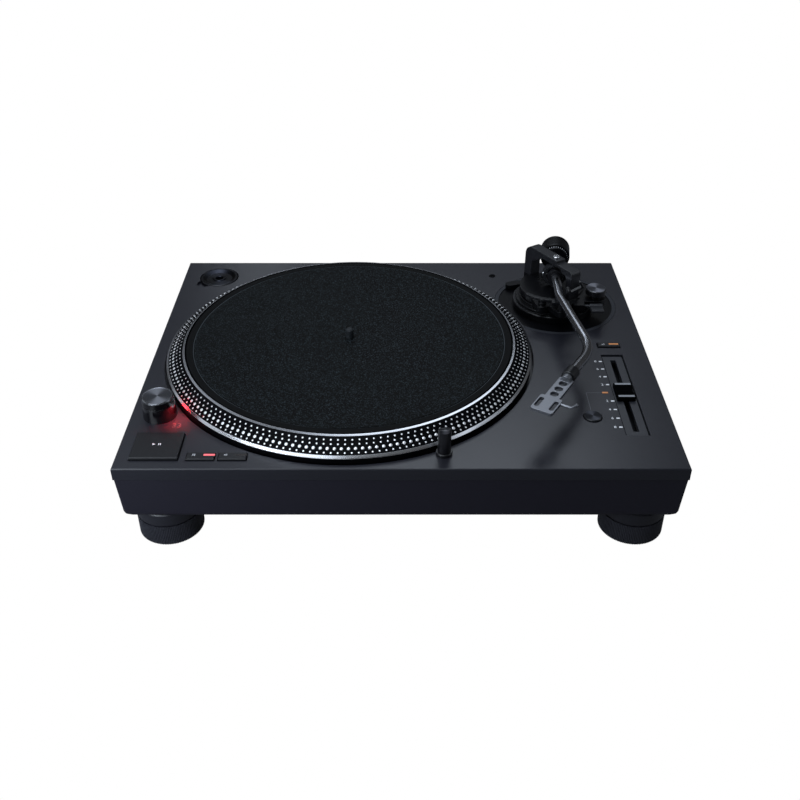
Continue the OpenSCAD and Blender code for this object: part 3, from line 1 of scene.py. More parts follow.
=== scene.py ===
"""Looks of the direct drive turntable: finishes for the CAD nodes, and the printed, lit and repeated details."""

import json
import logging
import math
from dataclasses import dataclass
from enum import Enum
from typing import Optional, Sequence, Union

import bpy
from mathutils import Euler, Matrix, Vector

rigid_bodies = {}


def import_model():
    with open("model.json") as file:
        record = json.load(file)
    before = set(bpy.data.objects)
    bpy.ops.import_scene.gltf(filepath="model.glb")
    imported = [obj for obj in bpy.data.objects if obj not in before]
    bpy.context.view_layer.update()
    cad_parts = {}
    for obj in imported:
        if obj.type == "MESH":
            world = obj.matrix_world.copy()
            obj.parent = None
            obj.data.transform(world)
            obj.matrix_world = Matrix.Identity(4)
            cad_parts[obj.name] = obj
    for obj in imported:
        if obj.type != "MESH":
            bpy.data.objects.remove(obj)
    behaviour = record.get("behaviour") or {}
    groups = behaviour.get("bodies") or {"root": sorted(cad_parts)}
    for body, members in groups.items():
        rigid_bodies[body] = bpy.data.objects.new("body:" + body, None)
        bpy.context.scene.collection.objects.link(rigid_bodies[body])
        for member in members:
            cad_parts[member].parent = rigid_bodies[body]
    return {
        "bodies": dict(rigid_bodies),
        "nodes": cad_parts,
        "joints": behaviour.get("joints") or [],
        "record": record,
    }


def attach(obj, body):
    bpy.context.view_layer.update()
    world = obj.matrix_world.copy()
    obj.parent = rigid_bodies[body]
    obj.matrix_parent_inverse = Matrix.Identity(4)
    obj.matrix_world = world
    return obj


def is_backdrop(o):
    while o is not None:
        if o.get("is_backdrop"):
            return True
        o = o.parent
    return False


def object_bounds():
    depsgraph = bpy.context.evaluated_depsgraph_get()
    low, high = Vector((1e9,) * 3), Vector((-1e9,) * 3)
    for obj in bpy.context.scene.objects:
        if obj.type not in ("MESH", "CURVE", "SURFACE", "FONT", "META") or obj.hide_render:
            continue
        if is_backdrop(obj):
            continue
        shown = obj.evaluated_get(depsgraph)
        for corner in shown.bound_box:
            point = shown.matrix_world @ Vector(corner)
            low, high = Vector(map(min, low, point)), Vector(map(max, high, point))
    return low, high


LOG = logging.getLogger("turntable")
MM = 0.001
FULL_TURN = 2.0 * math.pi
# Thickness of print, in metres: it stands this far out of the face that carries it.
PRINT = 0.00006

Pair = tuple[float, float]
Place = Pair
Point = tuple[float, float, float]
Colour = tuple[float, float, float]
Face = tuple[int, ...]
Box = tuple[Point, Point]
Key = Union[str, int]


class Shape(Enum):
    """The small solid that a repeat places."""

    DOT = "dot"
    BAR = "bar"


class Ray(Enum):
    """The rays that the stage treats apart, by the names of their sockets."""

    CAMERA = "Is Camera Ray"
    GLOSSY = "Is Glossy Ray"
    THROUGH = "Is Transmission Ray"


@dataclass(frozen=True)
class Layout:
    """Places on the object, in metres, in the CAD frame."""

    deck: float = 0.087
    spindle: Place = (-0.0468, -0.0033)
    pivot: Place = (0.150583, 0.085407)
    arm_z: float = 0.121
    shaft_heading: float = math.radians(-8.0)
    fader: Place = (0.1935, -0.0711)
    reset: Place = (0.1606, -0.1069)
    range_button: Place = (0.1935, 0.0065)
    strobe: Place = (-0.202, -0.1035)
    strobe_figure: Place = (-0.1855, -0.1192)
    start: Place = (-0.1955, -0.1485)
    speed_33: Place = (-0.1587, -0.1613)
    speed_45: Place = (-0.1333, -0.1613)
    arm_plate: Place = (0.153783, 0.087107)
    skate: Place = (0.188183, 0.064407)
    adaptor: Place = (-0.19, 0.1428)
    socket: Place = (0.0957, 0.1453)
    target: Place = (0.034164, -0.156864)
    feet: tuple[Place, ...] = ((-0.195, -0.145), (0.195, -0.145), (-0.195, 0.145), (0.195, 0.145))


AT = Layout()


@dataclass(frozen=True)
class Zone:
    """A part of a surface with a finish of its own: a ring about an upright axis, between two heights.

    A zone with turned rings has the fine rings of a turned face and a painted highlight: a fan of light and shade
    painted into its colour. A lean, in radians, turns the normals outward, as on a polished edge.
    """

    centre: Place
    outer: float
    base: Colour
    roughness: float
    metallic: float = 0.0
    inner: float = 0.0
    low: float = 0.0
    high: float = 1.0
    # turned rings and a painted highlight fan of light and shade in the zone's colour
    rings_and_painted_fan: bool = False
    lean: Optional[float] = None


@dataclass(frozen=True)
class Finish:
    """How one surface looks: its base colour with flecks of another, its gloss, its light and its zones.

    The bump is in millimetres, and the radius that softens the edges is in metres.
    """

    name: str
    base: Colour
    fleck: Colour
    roughness: float
    metallic: float = 0.0
    coat: float = 0.0
    grain: float = 1500.0
    contrast: float = 0.5
    bump: float = 0.02
    soften: float = 0.0003
    specular: float = 0.5
    sparse: float = 0.0
    emission: Optional[Colour] = None
    strength: float = 0.0
    zones: tuple[Zone, ...] = ()


class Sock:
    """A shader socket that plain operators combine into maths nodes."""

    def __init__(self, graph: "Graph", out: bpy.types.NodeSocket) -> None:
        """Wraps an output socket of a graph."""
        self.graph = graph
        self.out = out

    def __add__(self, other: "Value") -> "Sock":
        """The sum of both."""
        return self.graph.math("ADD", self, other)

    def __sub__(self, other: "Value") -> "Sock":
        """The difference of both."""
        return self.graph.math("SUBTRACT", self, other)

    def __mul__(self, other: "Value") -> "Sock":
        """The product of both."""
        return self.graph.math("MULTIPLY", self, other)

    def __pow__(self, other: "Value") -> "Sock":
        """The power."""
        return self.graph.math("POWER", self, other)


Value = Union[Sock, float]
Arrow = Union[Sock, Point]
Tint = Union[Sock, Colour]


class Graph:
    """Builds the nodes of one shader tree."""

    NOISE_ROUGHNESS = 0.6

    def __init__(self, tree: bpy.types.NodeTree) -> None:
        """Takes over a tree and empties it."""
        self.tree = tree
        tree.nodes.clear()

    def node(self, kind: str, inputs: dict[str, object], output: str = "", **settings: object) -> Sock:
        """Adds a node.

        Args:
            kind: the node's Blender type.
            inputs: socket identifiers or names with a value or a socket for each.
            output: identifier or name of the output wanted, or nothing for the first one.
            settings: attributes of the node.

        Returns:
            The wanted output.
        """
        made = self.tree.nodes.new(kind)
        for key, value in settings.items():
            setattr(made, key, value)
        for key, value in inputs.items():
            self.feed(self.pick(made.inputs, key), value)
        return Sock(self, self.pick(made.outputs, output) if output else made.outputs[0])

    @staticmethod
    def pick(sockets: Sequence[bpy.types.NodeSocket], key: str) -> bpy.types.NodeSocket:
        """The socket of that identifier, or else of that name."""
        return next((s for s in sockets if s.identifier == key), None) or sockets[key]

    def feed(self, socket: bpy.types.NodeSocket, value: object) -> None:
        """Links a socket to another one, or sets its value.

        Args:
            socket: the input.
            value: a wrapped output, a colour or a plain value.
        """
        if isinstance(value, Sock):
            self.tree.links.new(value.out, socket)
        elif isinstance(value, tuple) and socket.type == "RGBA":
            socket.default_value = (*value, 1.0)
        else:
            socket.default_value = value

    def math(self, operation: str, a: Value, b: Value = 0.0) -> Sock:
        """A Math node."""
        return self.node("ShaderNodeMath", {"Value": a, "Value_001": b}, operation=operation)

    def vector(self, operation: str, a: Arrow, b: Arrow = (0.0, 0.0, 0.0), output: str = "Vector") -> Sock:
        """A Vector Math node."""
        return self.node("ShaderNodeVectorMath", {"Vector": a, "Vector_001": b}, output, operation=operation)

    def mix(self, factor: Value, a: Tint, b: Tint) -> Sock:
        """A colour between two colours."""
        inputs = {"Factor_Float": factor, "A_Color": a, "B_Color": b}
        return self.node("ShaderNodeMix", inputs, "Result_Color", data_type="RGBA")

    def blend(self, factor: Value, a: Value, b: Value) -> Sock:
        """A number between two numbers."""
        inputs = {"Factor_Float": factor, "A_Float": a, "B_Float": b}
        return self.node("ShaderNodeMix", inputs, "Result_Float", data_type="FLOAT")

    def between(self, factor: Value, a: Arrow, b: Arrow) -> Sock:
        """A vector between two vectors."""
        inputs = {"Factor_Float": factor, "A_Vector": a, "B_Vector": b}
        return self.node("ShaderNodeMix", inputs, "Result_Vector", data_type="VECTOR")

    def ramp(self, value: Value, low: float, high: float) -> Sock:
        """A smooth step from 0 at low to 1 at high."""
        inputs = {"Value": value, "From Min": low, "From Max": high, "To Min": 0.0, "To Max": 1.0}
        return self.node("ShaderNodeMapRange", inputs, "Result", interpolation_type="SMOOTHSTEP")

    def noise(self, where: Sock, scale: float, detail: float = 2.0) -> Sock:
        """A noise texture's factor."""
        inputs = {"Vector": where, "Scale": scale, "Detail": detail, "Roughness": self.NOISE_ROUGHNESS}
        return self.node("ShaderNodeTexNoise", inputs, "Fac")

    def place(self) -> Sock:
        """The point on the surface, in the CAD frame of its own body."""
        return self.node("ShaderNodeTexCoord", {}, "Object")

    def part(self, where: Sock, axis: str) -> Sock:
        """One coordinate of a point."""
        return self.node("ShaderNodeSeparateXYZ", {"Vector": where}, axis)

    def close(self, kind: str, surface: Sock) -> None:
        """Ends the tree in an output node of that type."""
        self.tree.links.new(surface.out, self.tree.nodes.new(kind).inputs["Surface"])


@dataclass
class Look:
    """The varied inputs of a surface while its zones are laid over each other."""

    base: Sock
    roughness: Sock
    metallic: Value
    normal: Sock


class Painter:
    """Turns finishes into materials, one per finish."""

    BROAD_SCALE = 14.0
    BROAD_DETAIL = 3.0
    ROUGHNESS_SPREAD = 0.08
    COAT_ROUGHNESS = 0.08
    BEVEL_SAMPLES = 4
    BUMP_STRENGTH = 0.5
    LAMP_UNEVENNESS = 0.25
    LAMP_STEP = (0.2, 0.8)
    SPECK_END = 0.75
    ZONE_EDGE = 0.00012
    # turned faces: the heading of the painted highlight fan, the pitch and share of the fine rings, the painted shade
    # factor of the dark wedges and ring troughs, and where the colour is full
    PAINTED_FAN_HEADING = 1.9
    SPIN_PITCH = 9000.0
    SPIN_SHARE = 0.2
    RING_AND_PAINTED_FAN_SHADE = 0.16
    SPIN_FULL = 0.9

    def __init__(self) -> None:
        """Starts without any material."""
        self.made: dict[str, bpy.types.Material] = {}

    def material(self, finish: Finish) -> bpy.types.Material:
        """Gives the material of a finish, built on first use.

        Args:
            finish: the surface's looks.

        Returns:
            The material.
        """
        if finish.name not in self.made:
            self.made[finish.name] = self.build(finish)
        return self.made[finish.name]

    def build(self, finish: Finish) -> bpy.types.Material:
        """Builds a procedural material.

        Args:
            finish: the surface's looks.

        Returns:
            The material.
        """
        made = bpy.data.materials.new(finish.name)
        made.use_nodes = True
        graph = Graph(made.node_tree)
        where = graph.place()
        fine = graph.noise(where, finish.grain)
        broad = graph.noise(where, self.BROAD_SCALE, self.BROAD_DETAIL)
        smooth = finish.roughness * (1.0 - self.ROUGHNESS_SPREAD)
        rough = min(1.0, finish.roughness * (1.0 + self.ROUGHNESS_SPREAD))
        look = Look(
            base=graph.mix(self.speck(graph, fine, finish) * finish.contrast, finish.base, finish.fleck),
            roughness=graph.blend(broad, smooth, rough),
            metallic=finish.metallic,
            normal=graph.node("ShaderNodeBevel", {"Radius": finish.soften}, samples=self.BEVEL_SAMPLES),
        )
        for zone in finish.zones:
            self.lay(graph, where, zone, look)
        surface = graph.node(
            "ShaderNodeBsdfPrincipled",
            {"Base Color": look.base, "Roughness": look.roughness, "Metallic": look.metallic,
             "Coat Weight": finish.coat, "Coat Roughness": self.COAT_ROUGHNESS,
             "Specular IOR Level": finish.specular},
        )
        shader = surface.out.node
        bumped = graph.node(
            "ShaderNodeBump",
            {"Height": fine, "Normal": look.normal, "Strength": self.BUMP_STRENGTH, "Distance": finish.bump * MM},
        )
        graph.feed(shader.inputs["Normal"], bumped)
        if finish.emission is not None:
            lit = graph.mix(graph.ramp(broad, *self.LAMP_STEP) * self.LAMP_UNEVENNESS, finish.emission, finish.base)
            graph.feed(shader.inputs["Emission Color"], lit)
            shader.inputs["Emission Strength"].default_value = finish.strength
        graph.close("ShaderNodeOutputMaterial", surface)
        return made

    def speck(self, graph: Graph, fine: Sock, finish: Finish) -> Sock:
        """Where a surface shows its flecks.

        Args:
            graph: the material's graph.
            fine: the fine noise.
            finish: the surface's looks; more contrast widens the flecks, and sparse ones are fewer.

        Returns:
            A mask from 0 to 1.
        """
        start = 0.5 - 0.5 / (1.0 + 4.0 * finish.contrast) + finish.sparse
        return graph.ramp(fine, start, self.SPECK_END - 0.5 * finish.sparse)

    def lay(self, graph: Graph, where: Sock, zone: Zone, look: Look) -> None:
        """Lays a zone's finish over a look.

        Args:
            graph: the material's graph.
            where: the point on the surface.
            zone: the zone.
            look: the look, which is changed.
        """
        flat = graph.vector("SUBTRACT", where, (*zone.centre, 0.0))
        across = graph.vector("MULTIPLY", flat, (1.0, 1.0, 0.0))
        radius = graph.vector("LENGTH", across, output="Value")
        mask = self.mask(graph, radius, graph.part(where, "Z"), zone)
        # zones with turned rings get a painted highlight fan of light and shade in their colour
        colour = self.paint_rings_and_fan(graph, flat, radius, zone.base) if zone.rings_and_painted_fan else zone.base
        look.base = graph.mix(mask, look.base, colour)
        look.roughness = graph.blend(mask, look.roughness, zone.roughness)
        look.metallic = graph.blend(mask, look.metallic, zone.metallic)
        if zone.lean is not None:
            leaning = self.leaning(graph, across, zone.lean)
            look.normal = graph.vector("NORMALIZE", graph.between(mask, look.normal, leaning))

    def mask(self, graph: Graph, radius: Sock, height: Sock, zone: Zone) -> Sock:
        """Where a zone lies.

        Args:
            graph: the material's graph.
            radius: the distance from the zone's axis.
            height: the height over the floor.
            zone: the zone.

        Returns:
            A mask from 0 to 1.
        """
        edge = self.ZONE_EDGE
        inside = graph.ramp(radius, zone.inner - edge, zone.inner + edge) if zone.inner > 0 else 1.0
        return (graph.ramp(radius, zone.outer + edge, zone.outer - edge)
                * graph.ramp(height, zone.low - edge, zone.low + edge)
                * graph.ramp(height, zone.high + edge, zone.high - edge) * inside)

    def paint_rings_and_fan(self, graph: Graph, flat: Sock, radius: Sock, base: Colour) -> Sock:
        """The colour of a turned face: fine rings, and a painted highlight, a fan of light and shade painted into the
        colour.

        Args:
            graph: the material's graph.
            flat: the point on the surface, from the zone's axis.
            radius: the distance from that axis.
            base: the brightest colour.

        Returns:
            The colour.
        """
        angle = graph.math("ARCTAN2", graph.part(flat, "Y"), graph.part(flat, "X"))
        # painted highlight: two opposite bright wedges round the axis, with painted shade between them
        fan = graph.math("COSINE", (angle - self.PAINTED_FAN_HEADING) * 2.0) * 0.5 + 0.5
        rings = graph.math("SINE", radius * self.SPIN_PITCH) * 0.5 + 0.5
        streak = graph.ramp(fan ** 2.0 * (1.0 - self.SPIN_SHARE) + rings * self.SPIN_SHARE, 0.0, self.SPIN_FULL)
        return graph.mix(streak, tuple(c * self.RING_AND_PAINTED_FAN_SHADE for c in base), base)

    @staticmethod
    def leaning(graph: Graph, across: Sock, lean: float) -> Sock:
        """The normal of a polished edge.

        Args:
            graph: the material's graph.
            across: the level line from the zone's axis to the point.
            lean: the angle between the normal and the upright.

        Returns:
            The normal.
        """
        outward = graph.vector("MULTIPLY", graph.vector("NORMALIZE", across), (math.sin(lean),) * 3)
        leaning = graph.vector("ADD", outward, (0.0, 0.0, math.cos(lean)))
        return graph.node("ShaderNodeVectorTransform", {"Vector": leaning}, vector_type="NORMAL",
                          convert_from="OBJECT", convert_to="WORLD")


SILVER: Colour = (0.5, 0.51, 0.54)
BRIGHT: Colour = (0.84, 0.85, 0.88)


@dataclass(frozen=True)
class Palette:
    """The finishes of the object."""

    deck: Finish = Finish(
        "deck_paint", (0.009, 0.0093, 0.0132), (0.0205, 0.0212, 0.029), 0.32, grain=2600.0, bump=0.03)
    inlay: Finish = Finish("fader_inlay", (0.017, 0.018, 0.0225), (0.03, 0.0315, 0.038), 0.36, grain=2600.0)
    chassis: Finish = Finish(
        "chassis_resin", (0.008, 0.007, 0.0138), (0.0135, 0.012, 0.0215), 0.5, grain=1800.0, bump=0.04, specular=0.4)
    arm_plate: Finish = Finish(
        "arm_plate_black", (0.0016, 0.0017, 0.0023), (0.003, 0.003, 0.004), 0.3, grain=2200.0, specular=0.15,
        zones=(Zone(AT.arm_plate, 0.061, (0.024, 0.0255, 0.0305), 0.4, inner=0.0561, low=AT.deck - 0.0003),))
    black: Finish = Finish(
        "satin_black", (0.0035, 0.0037, 0.0047), (0.007, 0.0073, 0.009), 0.3, grain=2000.0, soften=0.0005)
    knob: Finish = Finish(
        "knob_black", (0.0006, 0.0006, 0.0009), (0.0012, 0.0012, 0.0016), 0.5, grain=2000.0, specular=0.01)
    arm_black: Finish = Finish(
        "arm_black", (0.0095, 0.0098, 0.012), (0.018, 0.0187, 0.0225), 0.3, grain=2000.0, soften=0.0014)
    turret: Finish = Finish(
        "turret_black", (0.0018, 0.0019, 0.0025), (0.0038, 0.004, 0.005), 0.28, grain=2000.0, specular=0.3,
        soften=0.0008)
    # the adaptor's face carries turned rings and a painted highlight fan in its colour
    adaptor: Finish = Finish(
        "adaptor_black", (0.003, 0.0032, 0.0045), (0.006, 0.0062, 0.008), 0.4, grain=1800.0,
        zones=(Zone(AT.adaptor, 0.0186, (0.028, 0.03, 0.039), 0.4, 1.0, low=AT.deck - 0.003, rings_and_painted_fan=True),))
    weight: Finish = Finish(
        "weight_black", (0.002, 0.0021, 0.0027), (0.004, 0.0042, 0.0052), 0.36, grain=2000.0, specular=0.17,
        soften=0.0005)
    gloss: Finish = Finish(
        "gloss_black", (0.003, 0.003, 0.004), (0.005, 0.005, 0.006), 0.12, coat=0.3, grain=900.0, contrast=0.3,
        bump=0.0)
    button: Finish = Finish(
        "button_satin", (0.005, 0.0051, 0.0063), (0.01, 0.0102, 0.012), 0.36, grain=2400.0, specular=0.35)
    rubber: Finish = Finish(
        "sole_rubber", (0.004, 0.004, 0.0045), (0.007, 0.007, 0.008), 0.75, grain=1400.0, bump=0.06)
    # each foot's zone paints a highlight on the crests of its knurl ribs, a lighter band at their outer radius
    foot: Finish = Finish(
        "foot_resin", (0.009, 0.0091, 0.013), (0.016, 0.0163, 0.0225), 0.4, grain=1800.0, soften=0.0,
        zones=tuple(Zone(foot, 0.0272, (0.036, 0.037, 0.047), 0.4, inner=0.02685, high=0.0222) for foot in AT.feet))
    steel: Finish = Finish(
        "bright_steel", (0.55, 0.56, 0.58), (0.7, 0.71, 0.73), 0.24, metallic=1.0, grain=1200.0, bump=0.004)
    pin: Finish = Finish("dark_pin", (0.008, 0.01, 0.012), (0.02, 0.024, 0.027), 0.6, grain=700.0, specular=0.25)
    bronze: Finish = Finish("bearing_bronze", (0.4, 0.28, 0.13), (0.5, 0.36, 0.18), 0.35, metallic=1.0)
    cast: Finish = Finish("cast_metal", (0.3, 0.3, 0.32), (0.4, 0.4, 0.42), 0.5, metallic=1.0, bump=0.05)
    copper: Finish = Finish("coil_copper", (0.45, 0.2, 0.08), (0.6, 0.3, 0.13), 0.38, metallic=1.0, grain=3000.0)
    board: Finish = Finish("circuit_board", (0.015, 0.09, 0.035), (0.03, 0.14, 0.06), 0.4, coat=0.2, grain=600.0)
    gilt: Finish = Finish("gilt_jack", (0.75, 0.52, 0.2), (0.85, 0.62, 0.28), 0.2, metallic=1.0)
    ferrite: Finish = Finish("magnet_ferrite", (0.05, 0.05, 0.055), (0.08, 0.08, 0.09), 0.6, metallic=0.4)
    headshell: Finish = Finish(
        "satin_silver", (0.19, 0.196, 0.215), (0.28, 0.29, 0.315), 0.4, metallic=0.9, grain=2600.0, bump=0.01,
        soften=0.0006)
    tube: Finish = Finish(
        "dark_chrome", (0.36, 0.37, 0.4), (0.44, 0.45, 0.48), 0.16, metallic=1.0, bump=0.0,
        zones=(Zone(AT.pivot, 0.0115, (0.01, 0.01, 0.012), 0.3),
               Zone(AT.pivot, 0.0165, SILVER, 0.25, 1.0, inner=0.0115)))
    mat: Finish = Finish(
        "mat_rubber", (0.0001, 0.0002, 0.0002), (0.024, 0.033, 0.038), 0.6, grain=1000.0, contrast=1.0, bump=0.2,
        specular=0.08, sparse=0.1,
        zones=(Zone(AT.spindle, 0.152, (0.0012, 0.0015, 0.0017), 0.6, inner=0.1415),
               Zone(AT.spindle, 0.1414, (0.05, 0.058, 0.064), 0.5, inner=0.14085)))
    platter: Finish = Finish(
        "platter_black", (0.0015, 0.0016, 0.002), (0.003, 0.003, 0.004), 0.4, grain=1800.0, specular=0.03, bump=0.0,
        zones=(Zone(AT.spindle, 0.15062, SILVER, 0.25, 1.0, inner=0.14895, low=AT.deck + 0.0151,
                    high=AT.deck + 0.017, lean=0.1),
               Zone(AT.spindle, 0.168, BRIGHT, 0.25, 1.0, inner=0.16435, low=AT.deck + 0.0038,
                    high=AT.deck + 0.0075, lean=0.8)))
    # the dial's top carries turned rings and a painted highlight fan in its colour
    dial: Finish = Finish(
        "power_dial", (0.0015, 0.0015, 0.002), (0.003, 0.003, 0.004), 0.18, coat=0.1, grain=900.0,
        zones=(Zone(AT.strobe, 0.0116, (0.38, 0.39, 0.435), 0.34, 1.0, low=AT.deck + 0.0185, rings_and_painted_fan=True),
               Zone(AT.strobe, 0.014, (0.2, 0.205, 0.22), 0.22, 1.0, inner=0.0116, low=AT.deck + 0.0182)))
    # the button's top carries turned rings and a painted highlight fan in its colour
    reset: Finish = Finish(
        "reset_button", (0.006, 0.0065, 0.008), (0.011, 0.0115, 0.014), 0.34, grain=2000.0,
        zones=(Zone(AT.reset, 0.0069, (0.068, 0.072, 0.085), 0.36, 1.0, low=AT.deck + 0.0013, rings_and_painted_fan=True),))
    # the dial's top carries turned rings and a painted highlight fan in its colour
    skate: Finish = Finish(
        "anti_skate_dial", (0.004, 0.004, 0.005), (0.008, 0.008, 0.01), 0.3, grain=1800.0,
        zones=(Zone(AT.skate, 0.0092, (0.4, 0.41, 0.47), 0.3, 1.0, low=AT.deck + 0.0297, rings_and_painted_fan=True),))
    # the post's top carries turned rings and a painted highlight fan in its colour
    light_post: Finish = Finish(
        "light_post", (0.005, 0.005, 0.0065), (0.009, 0.009, 0.011), 0.28, grain=1800.0,
        zones=(Zone(AT.target, 0.00545, (0.3, 0.3, 0.32), 0.3, 1.0, low=AT.deck + 0.0232, rings_and_painted_fan=True),))
    grey: Finish = Finish("dark_grey", (0.03, 0.031, 0.035), (0.045, 0.046, 0.052), 0.36, metallic=0.6, grain=2000.0)
    ink: Finish = Finish(
        "print_ink", (0.72, 0.73, 0.76), (0.85, 0.86, 0.88), 0.55, grain=2600.0, bump=0.0, soften=0.0)
    dots: Finish = Finish(
        "polished_dots", (0.85, 0.86, 0.88), (0.95, 0.95, 0.96), 0.35, metallic=0.8, grain=2600.0, bump=0.0, soften=0.0)
    faint: Finish = Finish(
        "faint_ink", (0.1, 0.105, 0.12), (0.14, 0.145, 0.16), 0.55, grain=2600.0, bump=0.0, soften=0.0)
    # painted shade: dark sheets laid on the deck where a recess's edge or a hole falls in shade
    shade: Finish = Finish(
        "painted_shade_black", (0.0008, 0.0008, 0.001), (0.0015, 0.0015, 0.002), 0.6, grain=2000.0, specular=0.05,
        bump=0.0, soften=0.0)
    knob_bar: Finish = Finish(
        "knob_bar", (0.2, 0.21, 0.23), (0.3, 0.31, 0.33), 0.4, grain=2600.0, bump=0.0, soften=0.0)
    dark_lamp: Finish = Finish("dark_lamp", (0.014, 0.011, 0.011), (0.02, 0.015, 0.015), 0.25, bump=0.0, soften=0.0)
    red_lamp: Finish = Finish(
        "red_lamp", (0.5, 0.02, 0.02), (0.7, 0.05, 0.05), 0.25, emission=(1.0, 0.3, 0.36), strength=0.8)
    # the strobe figure's print: a painted red glow of the strobe lamp's light, in its emission and its red-tinted
    # colour
    print_with_painted_red_glow: Finish = Finish(
        "print_painted_red_glow", (0.06, 0.035, 0.035), (0.08, 0.045, 0.045), 0.5, grain=2600.0, bump=0.0, soften=0.0,
        emission=(1.0, 0.3, 0.32), strength=0.06)
    strobe_lamp: Finish = Finish(
        "strobe_lamp", (0.6, 0.01, 0.02), (0.8, 0.03, 0.04), 0.2, emission=(1.0, 0.02, 0.03), strength=18.0)
    amber_lamp: Finish = Finish(
        "amber_lamp", (0.3, 0.12, 0.04), (0.4, 0.17, 0.06), 0.4, emission=(1.0, 0.42, 0.16), strength=0.22)
    white_lamp: Finish = Finish(
        "white_lamp", (0.75, 0.74, 0.7), (0.85, 0.84, 0.8), 0.3, emission=(1.0, 0.97, 0.9), strength=0.4)

    def of_nodes(self) -> dict[str, Finish]:
        """Shares out the finishes.

        Returns:
            The finish of each CAD node, by its name.
        """
        groups = (
            (self.deck, "top_cabinet"), (self.chassis, "lower_chassis"), (self.cast, "motor_base"),
            (self.copper, "stator"), (self.bronze, "bearing_sleeve"), (self.ferrite, "rotor_magnet"),
            (self.board, "main_board power_board control_board pitch_board"), (self.gilt, "phono_jacks"),
            (self.steel, "cabinet_screws arch_screw gimbal_screws"), (self.inlay, "fader_plate"),
            (self.black, "mains_inlet fader_track target_light_collar arm_rest arm_clip arm_lifter headshell_collar"),
            (self.gloss, "strobe_housing"), (self.strobe_lamp, "strobe_lens"), (self.amber_lamp, "pitch_lock_lens"),
            (self.platter, "platter"), (self.pin, "spindle"), (self.mat, "platter_mat"),
            (self.button, "start_stop_button speed_33_button speed_45_button pitch_range_button"),
            (self.reset, "reset_button"), (self.dial, "power_dial"), (self.light_post, "target_light_post"),
            (self.white_lamp, "target_light_lamp"), (self.knob, "pitch_fader_knob"), (self.adaptor, "record_adaptor"),
            (self.arm_plate, "arm_mount"), (self.turret, "height_ring arm_turret"), (self.arm_black, "arm_arch"),
            (self.weight, "height_lock_lever counterweight tracking_force_dial"), (self.skate, "anti_skate_dial"),
            (self.grey, "cue_lever gimbal_ring"), (self.tube, "arm_tube"), (self.headshell, "headshell finger_lift"),
            (self.foot, "foot_front_left foot_front_right foot_back_left foot_back_right"),
            (self.rubber, "sole_front_left sole_front_right sole_back_left sole_back_right"),
        )
        return {name: finish for finish, names in groups for name in names.split()}


@dataclass(frozen=True)
class Ring:
    """A ring of equal small solids."""

    shape: Shape
    count: int
    radius: float
    size: Point
    centre: Point
    turn: Point = (0.0, 0.0, 0.0)
    slope: float = 0.0


